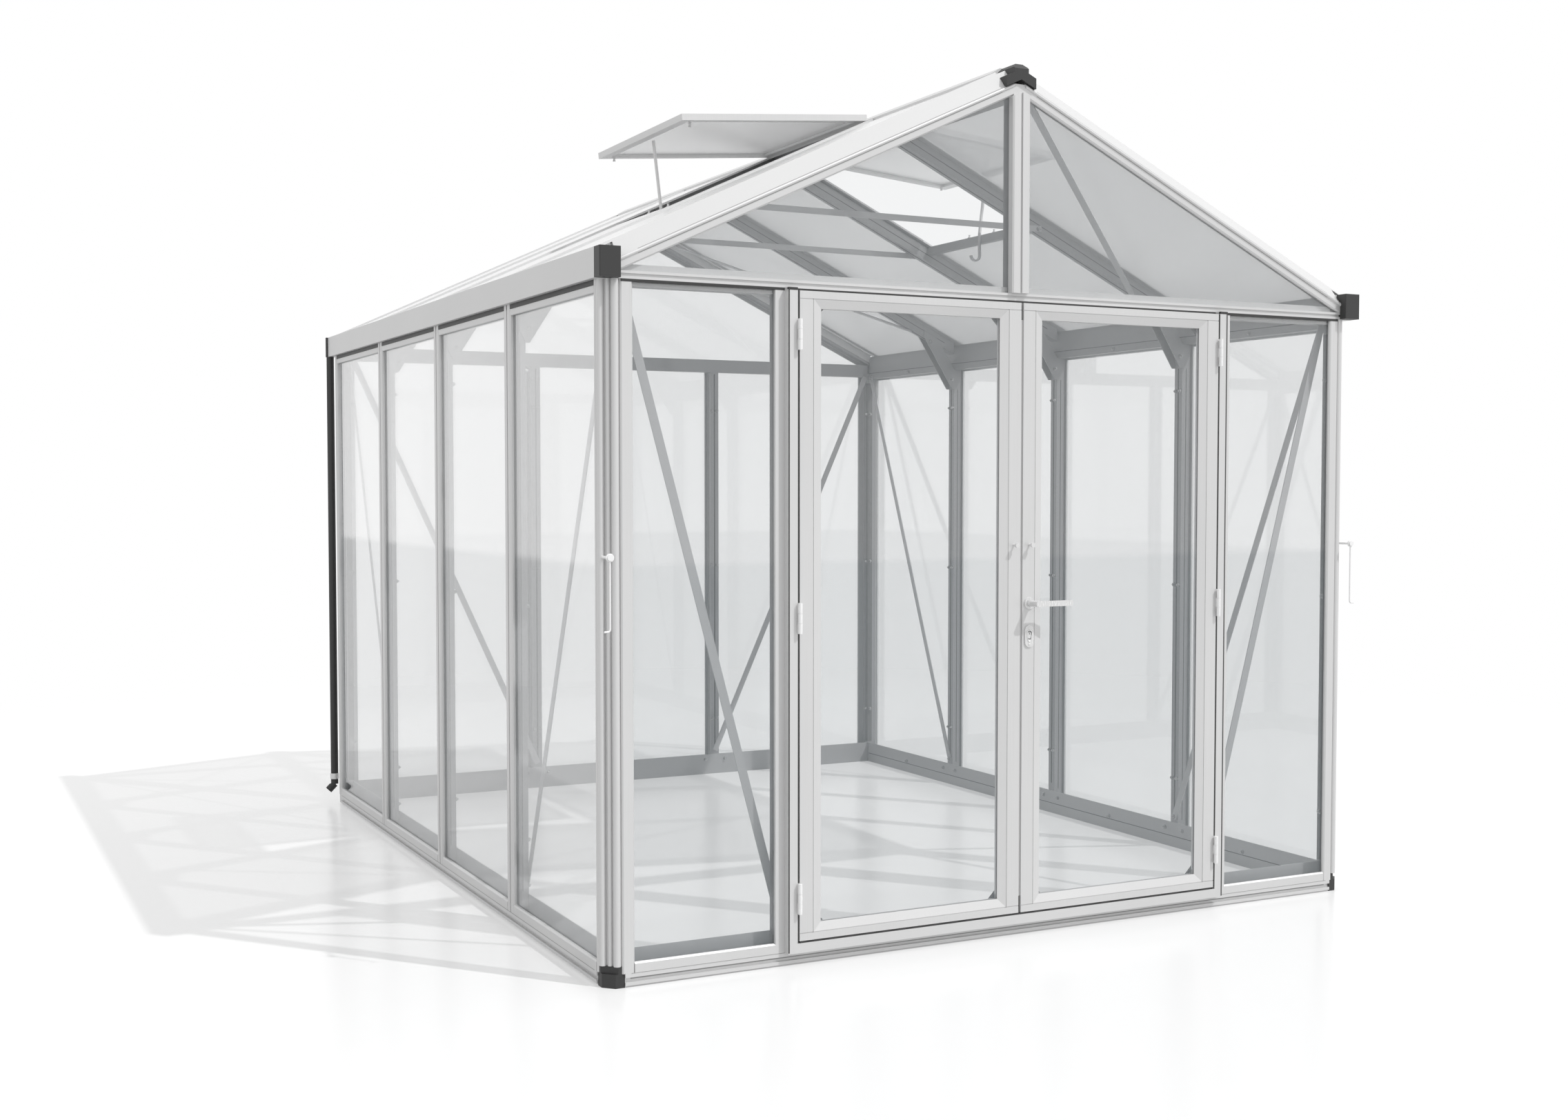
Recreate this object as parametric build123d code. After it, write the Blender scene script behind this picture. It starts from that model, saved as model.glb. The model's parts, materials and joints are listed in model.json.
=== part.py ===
from build123d import *
import os
from math import cos, radians, sin, tan

# A gabled greenhouse of aluminium profiles and glass, with double doors in its front gable.
# Millimetres. +Z is up, the front faces -Y, and the origin is the middle of the base on the ground.
# Walls are drawn as the front wall: x runs along it, -y is outwards, y = 0 is its groove line.

# Overall sizes, over the groove line of the base
house_width = 2544
house_depth = 3074
base_height = 37
eave_height = 1846
roof_seat = 81
roof_pitch = 25
side_bay_count = 4
end_bay_extra = 13
rear_bay_count = 3

# Section through a wall: distances before (proud) or behind (back) its groove line
lip_proud = 8
flat_proud = 30
pane_front = 2
pane_thickness = 4
post_back = 43
flange_thickness = 3
profile_wall = 2.5

# Base rails and their corner feet
base_flange_height = 90
base_groove_low = 14
base_groove_high = 26
base_toe_height = 5
base_toe_depth = 6
foot_proud = 4
foot_chamfer = 28
foot_collar_height = 20
foot_collar_chamfer = 36

# Corner posts, wall bars and the front frame
corner_recess = 42
corner_trim_end = 77
corner_lip_end = 54
corner_leg = 50
corner_chamfer = 36
corner_bead_radius = 7
side_bead_radius = 10
side_bead_inset = 2
side_bead_offset = 31
bottom_trim_height = 28
bar_cap_width = 59
bar_cap_bevel = 4
bar_groove_width = 7
bar_groove_depth = 5
bar_neck_width = 12
bar_body_width = 40
pane_edge_gap = 1
door_post_start = 488
door_flat_start = 516
door_flat_end = 545
sill_top = 64

# Eaves
eave_lip_height = 21
eave_groove_low = 7
eave_groove_high = 14
eave_web_below = 18
eave_web_above = 39
side_web_below = 26
side_web_above = 69
gutter_proud = 23
gutter_back = 36
gutter_height = 79
gutter_wall = 3
gutter_cap_proud = 33
gutter_cap_back = 8
gutter_end_plate = 10
cap_edge_radius = 3

# Roof
panel_thickness = 10
rafter_depth = 55
rafter_cap_height = 6
ridge_half_width = 20
ridge_crest_half_width = 18
ridge_crest_rise = 4
ridge_hat_half_width = 50
ridge_hat_edge = 8
ridge_hat_gap = 4
panel_overhang = 25
verge_rise = 42
verge_run = 45
verge_cover = 19
verge_ledge = 17
verge_ledge_thickness = 4
gable_post_proud = 22
gable_trim_depth = 72
gable_pane_tuck = 58
gable_bead_depth = 46
gable_bead_radius = 5

# Black caps on the ends of the ridge; drops are measured from the peak of the roof
ridge_cap_proud = 19
ridge_cap_back = 67
ridge_cap_apex_drop = 44
ridge_cap_foot_drop = 67
ridge_cap_edge_drop = 37
ridge_cap_shoulder_drop = 25
ridge_cap_shoulder = 24
ridge_cap_neck_drop = 9
ridge_cap_crest = 12
ridge_cap_crest_rise = 2
ridge_cap_bevel = 15

# Roof vents, held open on their stays
vent_open_pitch = 5.1
vent_hinge_rise = 3
vent_reach = 707
vent_width = 725
vent_thickness = 20
vent_border = 32
vent_panel_thickness = 4
vent_bar_reach = 628
vent_bar_width = 24
vent_bar_height = 30
stay_thickness = 6
stay_width = 12
stay_top_reach = 660
stay_tail = 45
stay_hook_radius = 18

# Bars and plates
brace_width = 25
brace_thickness = 3
brace_top_inset = 64
brace_top_drop = 17
brace_foot_rise = 16
tie_reach = 612
tie_seat_depth = 40
tie_width = 20
tie_thickness = 4
knee_thickness = 4
knee_length = 84
knee_toe = 34
knee_nose = 12
knee_reach = 155
knee_seat = 64

# Downpipes
pipe_radius = 15
pipe_wall = 2
pipe_stand_off = 9
pipe_inset = 9
pipe_foot_height = 57
pipe_shoe_reach = 36

# Doors
door_thickness = 22
door_gap = 6
door_meeting_gap = 8
door_sill_gap = 6
door_head_gap = 8
door_stile_width = 42
door_stile_bead = 27
door_band_width = 20
door_band_bead = 26
door_bead_depth = 8
door_band_groove = 2
door_pane_lap = 10

# Hinges
hinge_length = 83
hinge_radius = 6
hinge_pin_radius = 3
hinge_pin_clearance = 0.3
hinge_plate_depth = 16
hinge_plate_share = 0.3
hinge_axis_proud = 9
hinge_knuckle_gap = 0.4
hinge_end_inset = 118

# Lever, lock plate, pull knobs and stay hooks
lever_height = 973
lever_inset = 27
lever_length = 120
lever_stand_off = 40
lever_bar_height = 16
lever_bar_depth = 12
lever_neck_radius = 9
lever_rose_radius = 17
lever_rose_thickness = 4
lock_plate_height = 64
lock_plate_width = 30
lock_plate_thickness = 4
lock_plate_centre = 877
keyhole_radius = 8
keyhole_slot_width = 9
keyhole_slot_drop = 17
knob_height = 1142
knob_stem_radius = 3
knob_head_radius = 7
knob_head_length = 7
knob_length = 22
hook_length = 191
hook_wire_radius = 2.5
hook_eye_radius = 11
hook_eye_thickness = 4
hook_bend = 7
hook_bolt_radius = 4
hook_bolt_head_length = 4
hook_stand_off = 32
hook_drop = 14
hook_finger = 16
running_gap = 0.4

half_width = house_width / 2
half_depth = house_depth / 2
slope = tan(radians(roof_pitch))
roof_peak = eave_height + roof_seat + half_width * slope
pane_back = pane_front + pane_thickness
flange_back = post_back + flange_thickness
eave_lip_top = eave_height + eave_lip_height
eave_web_low = eave_height - eave_web_below
eave_web_top = eave_height + eave_web_above
side_web_low = eave_height - side_web_below
gutter_top = eave_height + gutter_height
body_half = bar_body_width / 2
neck_half = bar_neck_width / 2
roof_run = half_width / cos(radians(roof_pitch))
side_pitch = (house_depth - 2 * end_bay_extra) / side_bay_count
side_bar_places = [side_pitch * (k - side_bay_count / 2) for k in range(1, side_bay_count)]
rear_pitch = house_width / rear_bay_count
rear_bar_places = [rear_pitch * (k - rear_bay_count / 2) for k in range(1, rear_bay_count)]
vent_bay = (side_bar_places[0], side_bar_places[1])
vent_middle = (vent_bay[0] + vent_bay[1]) / 2
reach_all = house_width + house_depth + roof_peak
drip_edge = half_width + gutter_proud - panel_overhang
cap_start = ridge_hat_half_width + ridge_hat_gap
verge_top = verge_run * verge_rise / (verge_rise + rafter_cap_height) - lip_proud
pipe_place = half_depth + lip_proud + pipe_stand_off + pipe_radius
door_low = sill_top + door_sill_gap
door_high = eave_height - door_head_gap
brace_foot_height = base_flange_height + brace_foot_rise

WALLS = {
    "front": Pos(0, -half_depth, 0),
    "rear": Pos(0, half_depth, 0) * Rot(0, 0, 180),
    "left": Pos(-half_width, 0, 0) * Rot(0, 0, -90),
    "right": Pos(half_width, 0, 0) * Rot(0, 0, 90),
}
WALL_HALVES = {"front": half_width, "rear": half_width, "left": half_depth, "right": half_depth}
BAR_PLACES = {"left": side_bar_places, "right": side_bar_places, "rear": rear_bar_places}
BAR_TOPS = {"left": side_web_low, "right": side_web_low, "rear": eave_web_low}
TRIM_ENDS = {"left": corner_lip_end, "right": corner_lip_end, "rear": corner_trim_end}

NODES = {}


def block(x0, x1, y0, y1, z0, z1):
    """A straight block between two corners."""
    middle = Pos((x0 + x1) / 2, (y0 + y1) / 2, (z0 + z1) / 2)
    return middle * Box(x1 - x0, y1 - y0, z1 - z0)


def rect(u0, u1, v0, v1):
    """A rectangle of a profile, between two corners."""
    return Pos((u0 + u1) / 2, (v0 + v1) / 2) * Rectangle(u1 - u0, v1 - v0)


def tube(u0, u1, v0, v1):
    """A hollow rectangle of a profile, one wall thick."""
    inner = rect(u0 + profile_wall, u1 - profile_wall, v0 + profile_wall, v1 - profile_wall)
    return rect(u0, u1, v0, v1) - inner


def upright(profile, z0, z1):
    """A profile drawn in plan, extruded between two heights."""
    return Pos(0, 0, z0) * extrude(profile, amount=z1 - z0)


def along(profile, x0, x1):
    """A profile drawn in section as (y, z), extruded along a wall."""
    return Pos(x0, 0, 0) * extrude(Plane.YZ * profile, amount=x1 - x0)


def strip(start, end, width):
    """A straight bar between two points of a plane, with square ends."""
    run = Vector(*end) - Vector(*start)
    side = Vector(-run.Y, run.X).normalized() * (width / 2)
    corners = [Vector(*start) + side, Vector(*start) - side, Vector(*end) - side, Vector(*end) + side]
    return make_face(Polyline([(c.X, c.Y) for c in corners], close=True))


def roof_height(x, depth=0):
    """Height of the plane that lies a depth below the roof panels' outer face."""
    return roof_peak - abs(x) * slope - depth / cos(radians(roof_pitch))


def down_slope(profile, x_near, x_far, z_low=0):
    """A profile drawn as (y, depth below the roof), run down the left slope between two plumb cuts."""
    pitch = radians(roof_pitch)
    plane = Plane(origin=(0, 0, roof_peak), x_dir=(0, 1, 0), z_dir=(-cos(pitch), 0, -sin(pitch)))
    bar = extrude(plane * profile, amount=roof_run + house_width)
    return bar & block(-x_far, -x_near, -house_depth, house_depth, z_low, reach_all)


ridge_low = roof_height(bar_cap_width / 2, gable_trim_depth)
vent_bar_top = roof_height(vent_bar_reach + vent_bar_width / 2)
tie_height = roof_height(tie_reach, tie_seat_depth)


def both_slopes(part):
    return [part, mirror(part, about=Plane.YZ)]


def both_ends(part):
    return [part, mirror(part, about=Plane.XZ)]


def node(name, *solids):
    NODES[name] = list(solids)


def make_base_rails():
    body = rect(-lip_proud, post_back, 0, base_height)
    body -= rect(-lip_proud, 0, base_groove_low, base_groove_high)
    body -= rect(-lip_proud, base_toe_depth - lip_proud, 0, base_toe_height)
    body -= rect(profile_wall, post_back - profile_wall, profile_wall, base_height - profile_wall)
    profile = body + rect(post_back, flange_back, 0, base_flange_height)
    rails = {}
    for wall, place in WALLS.items():
        end = WALL_HALVES[wall] - corner_leg
        rails[wall] = place * along(profile, -end, end)
    node("front_base_rail", rails["front"])
    node("rear_base_rail", rails["rear"])
    node("side_base_rails", rails["left"], rails["right"])


def outer_chamfer(outline, length):
    """Cuts the outer corner off the plan of a corner piece."""
    return chamfer(outline.vertices().sort_by(Axis.X)[:2].sort_by(Axis.Y)[:1], length)


def make_corner_feet():
    outline = outer_chamfer(rect(-foot_proud, corner_leg, -foot_proud, corner_leg), foot_chamfer)
    collar = outer_chamfer(rect(-foot_proud, corner_recess, -foot_proud, corner_recess), foot_collar_chamfer)
    foot = upright(outline, 0, base_height) + upright(collar, base_height, base_height + foot_collar_height)
    node("base_corner_feet", *both_slopes(Pos(-half_width, -half_depth, 0) * foot))


def pane_trim(u0, u1, proud=lip_proud):
    """Trim that holds a pane's edge: from the pane's face out to the lips, with bevelled edges."""
    outline = [
        (u0, pane_front),
        (u0, bar_cap_bevel - proud),
        (u0 + bar_cap_bevel, -proud),
        (u1 - bar_cap_bevel, -proud),
        (u1, bar_cap_bevel - proud),
        (u1, pane_front),
    ]
    return make_face(Polyline(outline, close=True))


def corner_wing(trim_end):
    """Trim, neck and leg that hold the pane on one side of a corner post."""
    neck = rect(corner_recess, corner_leg, pane_front, pane_back)
    leg = rect(post_back, corner_leg, pane_back, corner_leg)
    return pane_trim(corner_recess, trim_end) + neck + leg


def corner_core():
    """Plan of a corner post: a tube with its outer corner cut off and three round beads."""
    core = outer_chamfer(rect(0, post_back, 0, post_back), corner_chamfer)
    core += Pos(corner_chamfer / 2, corner_chamfer / 2) * Circle(corner_bead_radius)
    core += Pos(side_bead_offset, side_bead_inset) * Circle(side_bead_radius)
    core += Pos(side_bead_inset, side_bead_offset) * Circle(side_bead_radius)
    inner = post_back - profile_wall
    return core - rect(post_back / 2, inner, post_back / 2, inner)


def make_corner_posts():
    diagonal = Plane(origin=(0, 0, 0), z_dir=(1, -1, 0))
    wings = corner_wing(corner_trim_end) + mirror(corner_wing(corner_lip_end), about=diagonal)
    post = upright(wings, base_height, eave_height)
    front = post + upright(corner_core(), base_height + foot_collar_height, eave_height) - hook_bolt_hole()
    rear = post + upright(corner_core(), base_height, eave_height)
    rear += upright(rect(0, corner_leg, 0, corner_leg), 0, base_height)
    corner = Pos(-half_width, -half_depth, 0)
    node("corner_posts", *both_slopes(corner * front), *both_slopes(mirror(corner * rear, about=Plane.XZ)))


def hook_bolt_hole():
    """Seat of a stay hook's bolt in the side bead of a front post."""
    plane = Plane(origin=(side_bead_inset, side_bead_offset, knob_height - hook_drop), x_dir=(1, 0, 0),
                  z_dir=(0, -1, 0))
    return extrude(plane * Circle(hook_bolt_radius), amount=side_bead_offset + hook_stand_off)


def bar_cap(proud=lip_proud):
    """Outer cap of a wall bar, with bevelled edges and a groove, and the neck between two panes."""
    half = bar_cap_width / 2
    groove = bar_groove_width / 2
    cap = pane_trim(-half, half, proud) - rect(-groove, groove, -proud, bar_groove_depth - proud)
    return cap + rect(-neck_half, neck_half, pane_front, pane_back)


def wall_bar(body_top):
    """One glazing bar of a wall, from the base rail to the eaves."""
    bar = upright(bar_cap(), base_height, eave_height)
    return bar + upright(tube(-body_half, body_half, pane_back, post_back), base_height, body_top)


def make_wall_bars():
    bars = []
    for wall, places in BAR_PLACES.items():
        bars += [WALLS[wall] * Pos(a, 0, 0) * wall_bar(BAR_TOPS[wall]) for a in places]
    node("wall_bars", *bars)


def make_bottom_trims():
    """Trims that hold the lower edge of each pane, standing on the base rails between the caps."""
    top = base_height + bottom_trim_height
    outline = [
        (pane_front, base_height),
        (-lip_proud, base_height),
        (-lip_proud, top - bar_cap_bevel),
        (bar_cap_bevel - lip_proud, top),
        (pane_front, top),
    ]
    profile = make_face(Polyline(outline, close=True))
    trims = []
    for wall, places in BAR_PLACES.items():
        corner = WALL_HALVES[wall] - TRIM_ENDS[wall]
        edges = [-corner]
        for place in places:
            edges += [place - bar_cap_width / 2, place + bar_cap_width / 2]
        edges.append(corner)
        for low, high in zip(edges[0::2], edges[1::2]):
            trims.append(WALLS[wall] * along(profile, low, high))
    front = along(profile, corner_trim_end - half_width, door_post_start - half_width)
    trims += both_slopes(WALLS["front"] * front)
    node("pane_bottom_trims", *trims)


def make_door_posts():
    start = half_width - door_post_start
    step = half_width - door_flat_start
    end = half_width - door_flat_end
    trim = rect(-start, -step, -lip_proud, pane_front)
    neck = rect(-step - neck_half, -step, pane_front, pane_back)
    flat = tube(-step, -end, -flat_proud, post_back)
    body = tube(-step - body_half, -step, pane_back, post_back)
    post = upright(trim + neck + flat, base_height, eave_height)
    post = post - block(-step, -end, pane_back, post_back, eave_web_low, eave_height)
    post += upright(body, base_height, eave_web_low)
    post = WALLS["front"] * post
    node("door_posts", *both_slopes(post))
    sill = along(rect(-flat_proud, post_back, base_height, sill_top), -end, end)
    sill -= along(rect(profile_wall - flat_proud, post_back - profile_wall,
                       base_height + profile_wall, sill_top - profile_wall), -end, end)
    node("door_sill", WALLS["front"] * sill)


def make_eave_beams():
    lips = rect(-lip_proud, pane_back, eave_height, eave_lip_top)
    lips -= rect(-lip_proud, -pane_front, eave_height + eave_groove_low, eave_height + eave_groove_high)
    web = tube(pane_back, post_back, eave_web_low, eave_web_top)
    lip_end = half_width - gutter_back
    web_end = half_width - corner_leg
    beam = along(lips, -lip_end, lip_end) + along(web, -web_end, web_end)
    side_web = tube(pane_back, post_back, side_web_low, eave_height)
    side_web += rect(gutter_back, post_back, eave_height, eave_height + side_web_above)
    side_end = half_depth - corner_leg
    side_beam = along(side_web, -side_end, side_end)
    node("eave_beams", WALLS["front"] * beam, WALLS["rear"] * beam, WALLS["left"] * side_beam,
         WALLS["right"] * side_beam)


def make_gutters():
    """Gutters with a deep cap in front; at the rear they run on over the downpipes to a thin end plate."""
    outer = -half_width - gutter_proud
    inner = gutter_back - half_width
    front = gutter_cap_back - half_depth
    rear = pipe_place + pipe_radius - gutter_end_plate
    gutter = block(outer, inner, front, rear, eave_height, gutter_top)
    gutter -= block(outer + gutter_wall, inner - gutter_wall, front, rear, eave_height + gutter_wall, gutter_top)
    node("gutters", *both_slopes(gutter))
    cap = block(outer, inner, -half_depth - gutter_cap_proud, front, eave_height, gutter_top)
    cap = fillet(cap.edges().filter_by(Axis.Z).group_by(Axis.Y)[0], cap_edge_radius)
    plate = block(outer, inner, rear, rear + gutter_end_plate, eave_height, gutter_top)
    node("gutter_end_caps", *both_slopes(cap), *both_slopes(plate))


def make_gable():
    cap = upright(bar_cap(gable_post_proud), eave_lip_top, roof_height(0, gable_trim_depth))
    above = rect(-house_depth, house_depth, -verge_rise, gable_trim_depth)
    for slab in both_slopes(down_slope(above, 0, house_width)):
        cap -= slab
    cap -= block(-bar_cap_width, bar_cap_width, -lip_proud, pane_back, ridge_low, roof_peak)
    body = upright(tube(-body_half, body_half, pane_back, post_back), eave_web_top, ridge_low)
    post = WALLS["front"] * (cap + body)
    node("gable_posts", *both_ends(post))

    front = -half_depth
    lip = front - lip_proud
    face = [
        (lip, gable_trim_depth - bar_cap_bevel),
        (lip, verge_rise),
        (front + verge_top, 0),
        (front + post_back, 0),
        (front + post_back, gable_bead_depth),
        (front + pane_back, gable_bead_depth),
        (front + pane_back, gable_pane_tuck),
        (front + pane_front, gable_pane_tuck),
        (front + pane_front, gable_trim_depth),
        (lip + bar_cap_bevel, gable_trim_depth),
    ]
    face = make_face(Polyline(face, close=True)) + Pos(lip, gable_bead_depth) * Circle(gable_bead_radius)
    inner = rect(front + pane_back, front + post_back, gable_bead_depth, rafter_depth)
    ledge = rect(front + post_back, front + post_back + verge_ledge, panel_thickness,
                 panel_thickness + verge_ledge_thickness)
    verge = [
        (front + verge_top, 0),
        (lip + verge_run, -rafter_cap_height),
        (front + post_back + verge_cover, -rafter_cap_height),
        (front + post_back + verge_cover, 0),
    ]
    eave_end = half_width - gutter_back
    rafter = down_slope(face, ridge_half_width, eave_end, eave_lip_top)
    rafter += down_slope(inner + ledge, ridge_half_width, eave_end, eave_web_top)
    rafter += down_slope(make_face(Polyline(verge, close=True)), cap_start, drip_edge)
    left_pair = both_ends(rafter)
    node("gable_rafters", *left_pair, *[mirror(p, about=Plane.YZ) for p in left_pair])


def make_gable_panes():
    inner = neck_half + pane_edge_gap
    outer = half_width - corner_leg
    outline = [
        (-inner, eave_lip_top),
        (-inner, ridge_low),
        (-ridge_half_width, ridge_low),
        (-ridge_half_width, roof_height(ridge_half_width, gable_pane_tuck)),
        (-outer, roof_height(outer, gable_pane_tuck)),
        (-outer, eave_lip_top),
    ]
    sheet = Plane(origin=(0, pane_back - half_depth, 0), x_dir=(1, 0, 0), z_dir=(0, -1, 0))
    pane = extrude(sheet * make_face(Polyline(outline, close=True)), amount=pane_thickness)
    front = both_slopes(pane)
    node("gable_panes", *front, *[mirror(p, about=Plane.XZ) for p in front])


def make_wall_panes():
    panes = {}
    for wall, places in BAR_PLACES.items():
        corner = WALL_HALVES[wall] - corner_leg - pane_edge_gap
        edges = [-corner]
        for place in places:
            edges += [place - neck_half - pane_edge_gap, place + neck_half + pane_edge_gap]
        edges.append(corner)
        panes[wall] = []
        for low, high in zip(edges[0::2], edges[1::2]):
            pane = block(low, high, pane_front, pane_back, base_height, eave_height)
            panes[wall].append(WALLS[wall] * pane)
    node("side_wall_panes", *panes["left"], *panes["right"])
    node("rear_wall_panes", *panes["rear"])
    outer = half_width - corner_leg - pane_edge_gap
    inner = half_width - door_flat_start + neck_half + pane_edge_gap
    pane = WALLS["front"] * block(-outer, -inner, pane_front, pane_back, base_height, eave_height)
    node("front_wall_panes", *both_slopes(pane))


def make_roof():
    body = tube(-body_half, body_half, panel_thickness, rafter_depth)
    neck = rect(-neck_half, neck_half, 0, panel_thickness)
    cap = rect(-bar_cap_width / 2, bar_cap_width / 2, -rafter_cap_height, 0)
    rafter = down_slope(body, ridge_half_width, half_width - post_back)
    rafter_cap = down_slope(neck, ridge_half_width, drip_edge) + down_slope(cap, cap_start, drip_edge)
    rafters, caps = [], []
    for place in side_bar_places:
        rafters += both_slopes(Pos(0, place, 0) * rafter)
        caps += both_slopes(Pos(0, place, 0) * rafter_cap)
    node("rafters", *rafters)
    node("rafter_caps", *caps)

    gable_edge = half_depth - post_back
    lines = [-gable_edge]
    for place in side_bar_places:
        lines += [place - neck_half - pane_edge_gap, place + neck_half + pane_edge_gap]
    lines.append(gable_edge)
    panels = []
    for low, high in zip(lines[0::2], lines[1::2]):
        in_vent_bay = vent_bay[0] < low and high < vent_bay[1]
        start = vent_bar_reach + vent_bar_width / 2 if in_vent_bay else ridge_half_width
        panels.append(down_slope(rect(low, high, 0, panel_thickness), start, drip_edge))
    node("left_roof_panels", *panels)
    node("right_roof_panels", *[mirror(p, about=Plane.YZ) for p in panels])


def ridge_hat():
    """Outline of the ridge capping, over the two roof planes."""
    edge = ridge_hat_half_width
    right = [
        (edge, roof_height(edge)),
        (edge, roof_height(edge) + ridge_hat_edge),
        (ridge_crest_half_width, roof_peak + ridge_crest_rise),
    ]
    left = [(-x, z) for x, z in reversed(right)]
    return make_face(Polyline([(0, roof_peak)] + right + left, close=True))


def across(profile, y0, y1):
    """A profile drawn as (x, z), extruded from front to back."""
    plane = Plane(origin=(0, y1, 0), x_dir=(1, 0, 0), z_dir=(0, -1, 0))
    return extrude(plane * profile, amount=y1 - y0)


def make_ridge():
    front = half_depth + lip_proud
    inner_end = half_depth - post_back
    hat_end = half_depth - ridge_cap_back
    lip_top = roof_height(ridge_half_width, verge_rise)
    ridge = across(rect(-ridge_half_width, ridge_half_width, ridge_low, lip_top), -front, front)
    ridge += across(rect(-ridge_half_width, ridge_half_width, lip_top, roof_height(ridge_half_width)),
                    -inner_end, inner_end)
    ridge += across(ridge_hat(), -hat_end, hat_end) + across(ridge_gap(), -hat_end, hat_end)
    node("ridge_beam", ridge)


def make_ridge_caps():
    """Black end caps, moulded to sit on the verge slopes and the roof faces on both sides of the peak."""
    right = [
        (ridge_hat_half_width, roof_peak - ridge_cap_foot_drop),
        (ridge_hat_half_width, roof_peak - ridge_cap_edge_drop),
        (ridge_cap_shoulder, roof_peak - ridge_cap_shoulder_drop),
        (ridge_cap_shoulder, roof_peak - ridge_cap_neck_drop),
        (ridge_cap_crest, roof_peak + ridge_cap_crest_rise),
    ]
    left = [(-x, z) for x, z in reversed(right)]
    outline = [(0, roof_peak - ridge_cap_apex_drop)] + right + left
    nose = -half_depth - ridge_cap_proud
    top = roof_peak + ridge_cap_crest_rise
    cap = across(make_face(Polyline(outline, close=True)), nose, ridge_cap_back - half_depth)
    bevel = [(nose, top), (nose + ridge_cap_bevel, top), (nose, top - ridge_cap_bevel)]
    cap -= along(make_face(Polyline(bevel, close=True)), -ridge_hat_half_width, ridge_hat_half_width)
    under = [
        (-half_depth - lip_proud, reach_all),
        (-half_depth - lip_proud, verge_rise),
        (verge_top - half_depth, 0),
        (0, 0),
        (0, reach_all),
    ]
    for part in both_slopes(down_slope(make_face(Polyline(under, close=True)), 0, house_width)):
        cap -= part
    node("ridge_end_caps", *both_ends(cap))


def ridge_gap():
    """The small triangle between the ridge shaft and the peak of the roof planes."""
    outline = [
        (0, roof_peak),
        (-ridge_half_width, roof_height(ridge_half_width)),
        (ridge_half_width, roof_height(ridge_half_width)),
    ]
    return make_face(Polyline(outline, close=True))


def vent_slab(y0, y1, s0, s1, t0, t1):
    """A slab of the left vent leaf: along the ridge, out from the hinge and below its top."""
    leaf = block(-s1, -s0, y0, y1, -t1, -t0)
    return Pos(-ridge_hat_half_width, 0, roof_peak + vent_hinge_rise) * Rot(0, -vent_open_pitch, 0) * leaf


def make_vents():
    length = (vent_reach - ridge_hat_half_width) / cos(radians(vent_open_pitch))
    low = vent_middle - vent_width / 2
    high = vent_middle + vent_width / 2
    side = block(-house_width, -ridge_hat_half_width, -house_depth, house_depth, 0, reach_all)
    frame = vent_slab(low, high, -vent_thickness, length, 0, vent_thickness)
    frame -= vent_slab(low + vent_border, high - vent_border, vent_border, length - vent_border,
                       0, vent_thickness)
    frame = frame & side
    panel_top = (vent_thickness - vent_panel_thickness) / 2
    panel = vent_slab(low + vent_border, high - vent_border, vent_border, length - vent_border,
                      panel_top, panel_top + vent_panel_thickness)
    node("vent_frames", *both_slopes(frame))
    node("vent_panels", *both_slopes(panel))

    bar_low = vent_bay[0] + body_half
    bar_high = vent_bay[1] - body_half
    bar_face = vent_bar_reach
    bar_base = vent_bar_top - vent_bar_height
    step = bar_face + vent_bar_width / 2
    far = bar_face + vent_bar_width
    bar = block(-step, -bar_face, bar_low, bar_high, bar_base, vent_bar_top)
    bar += block(-far, -step, bar_low, bar_high, bar_base, roof_height(far, panel_thickness))
    node("vent_cross_bars", *both_slopes(bar))

    centre = -bar_face + stay_thickness / 2
    tail = bar_base - stay_tail
    foot = block(-bar_face, -bar_face + stay_thickness, vent_middle - stay_width / 2,
                 vent_middle + stay_width / 2, tail, vent_bar_top + stay_thickness)
    arm_foot = (centre, vent_bar_top + stay_thickness)
    arm = across(strip(arm_foot, (-stay_top_reach, roof_peak), stay_thickness),
                 vent_middle - stay_width / 2, vent_middle + stay_width / 2)
    hook_ring = Circle(stay_hook_radius + stay_thickness / 2) - Circle(stay_hook_radius - stay_thickness / 2)
    hook_half = hook_ring & rect(-house_width, house_width, -house_depth, 0)
    hook = across(Pos(centre + stay_hook_radius, tail) * hook_half, vent_middle - stay_width / 2,
                  vent_middle + stay_width / 2)
    leaf = vent_slab(low, high, -vent_thickness, length, -house_depth, vent_thickness)
    stay = foot + (arm - leaf) + hook
    node("vent_stays", *both_slopes(stay))


def wall_brace(wall, top, bottom):
    """A flat bar on the inner faces of a wall, from the eaves to the foot of a bar."""
    bar = across(strip((top, eave_height - brace_top_drop), (bottom, brace_foot_height), brace_width),
                 post_back, post_back + brace_thickness)
    return WALLS[wall] * bar


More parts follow.
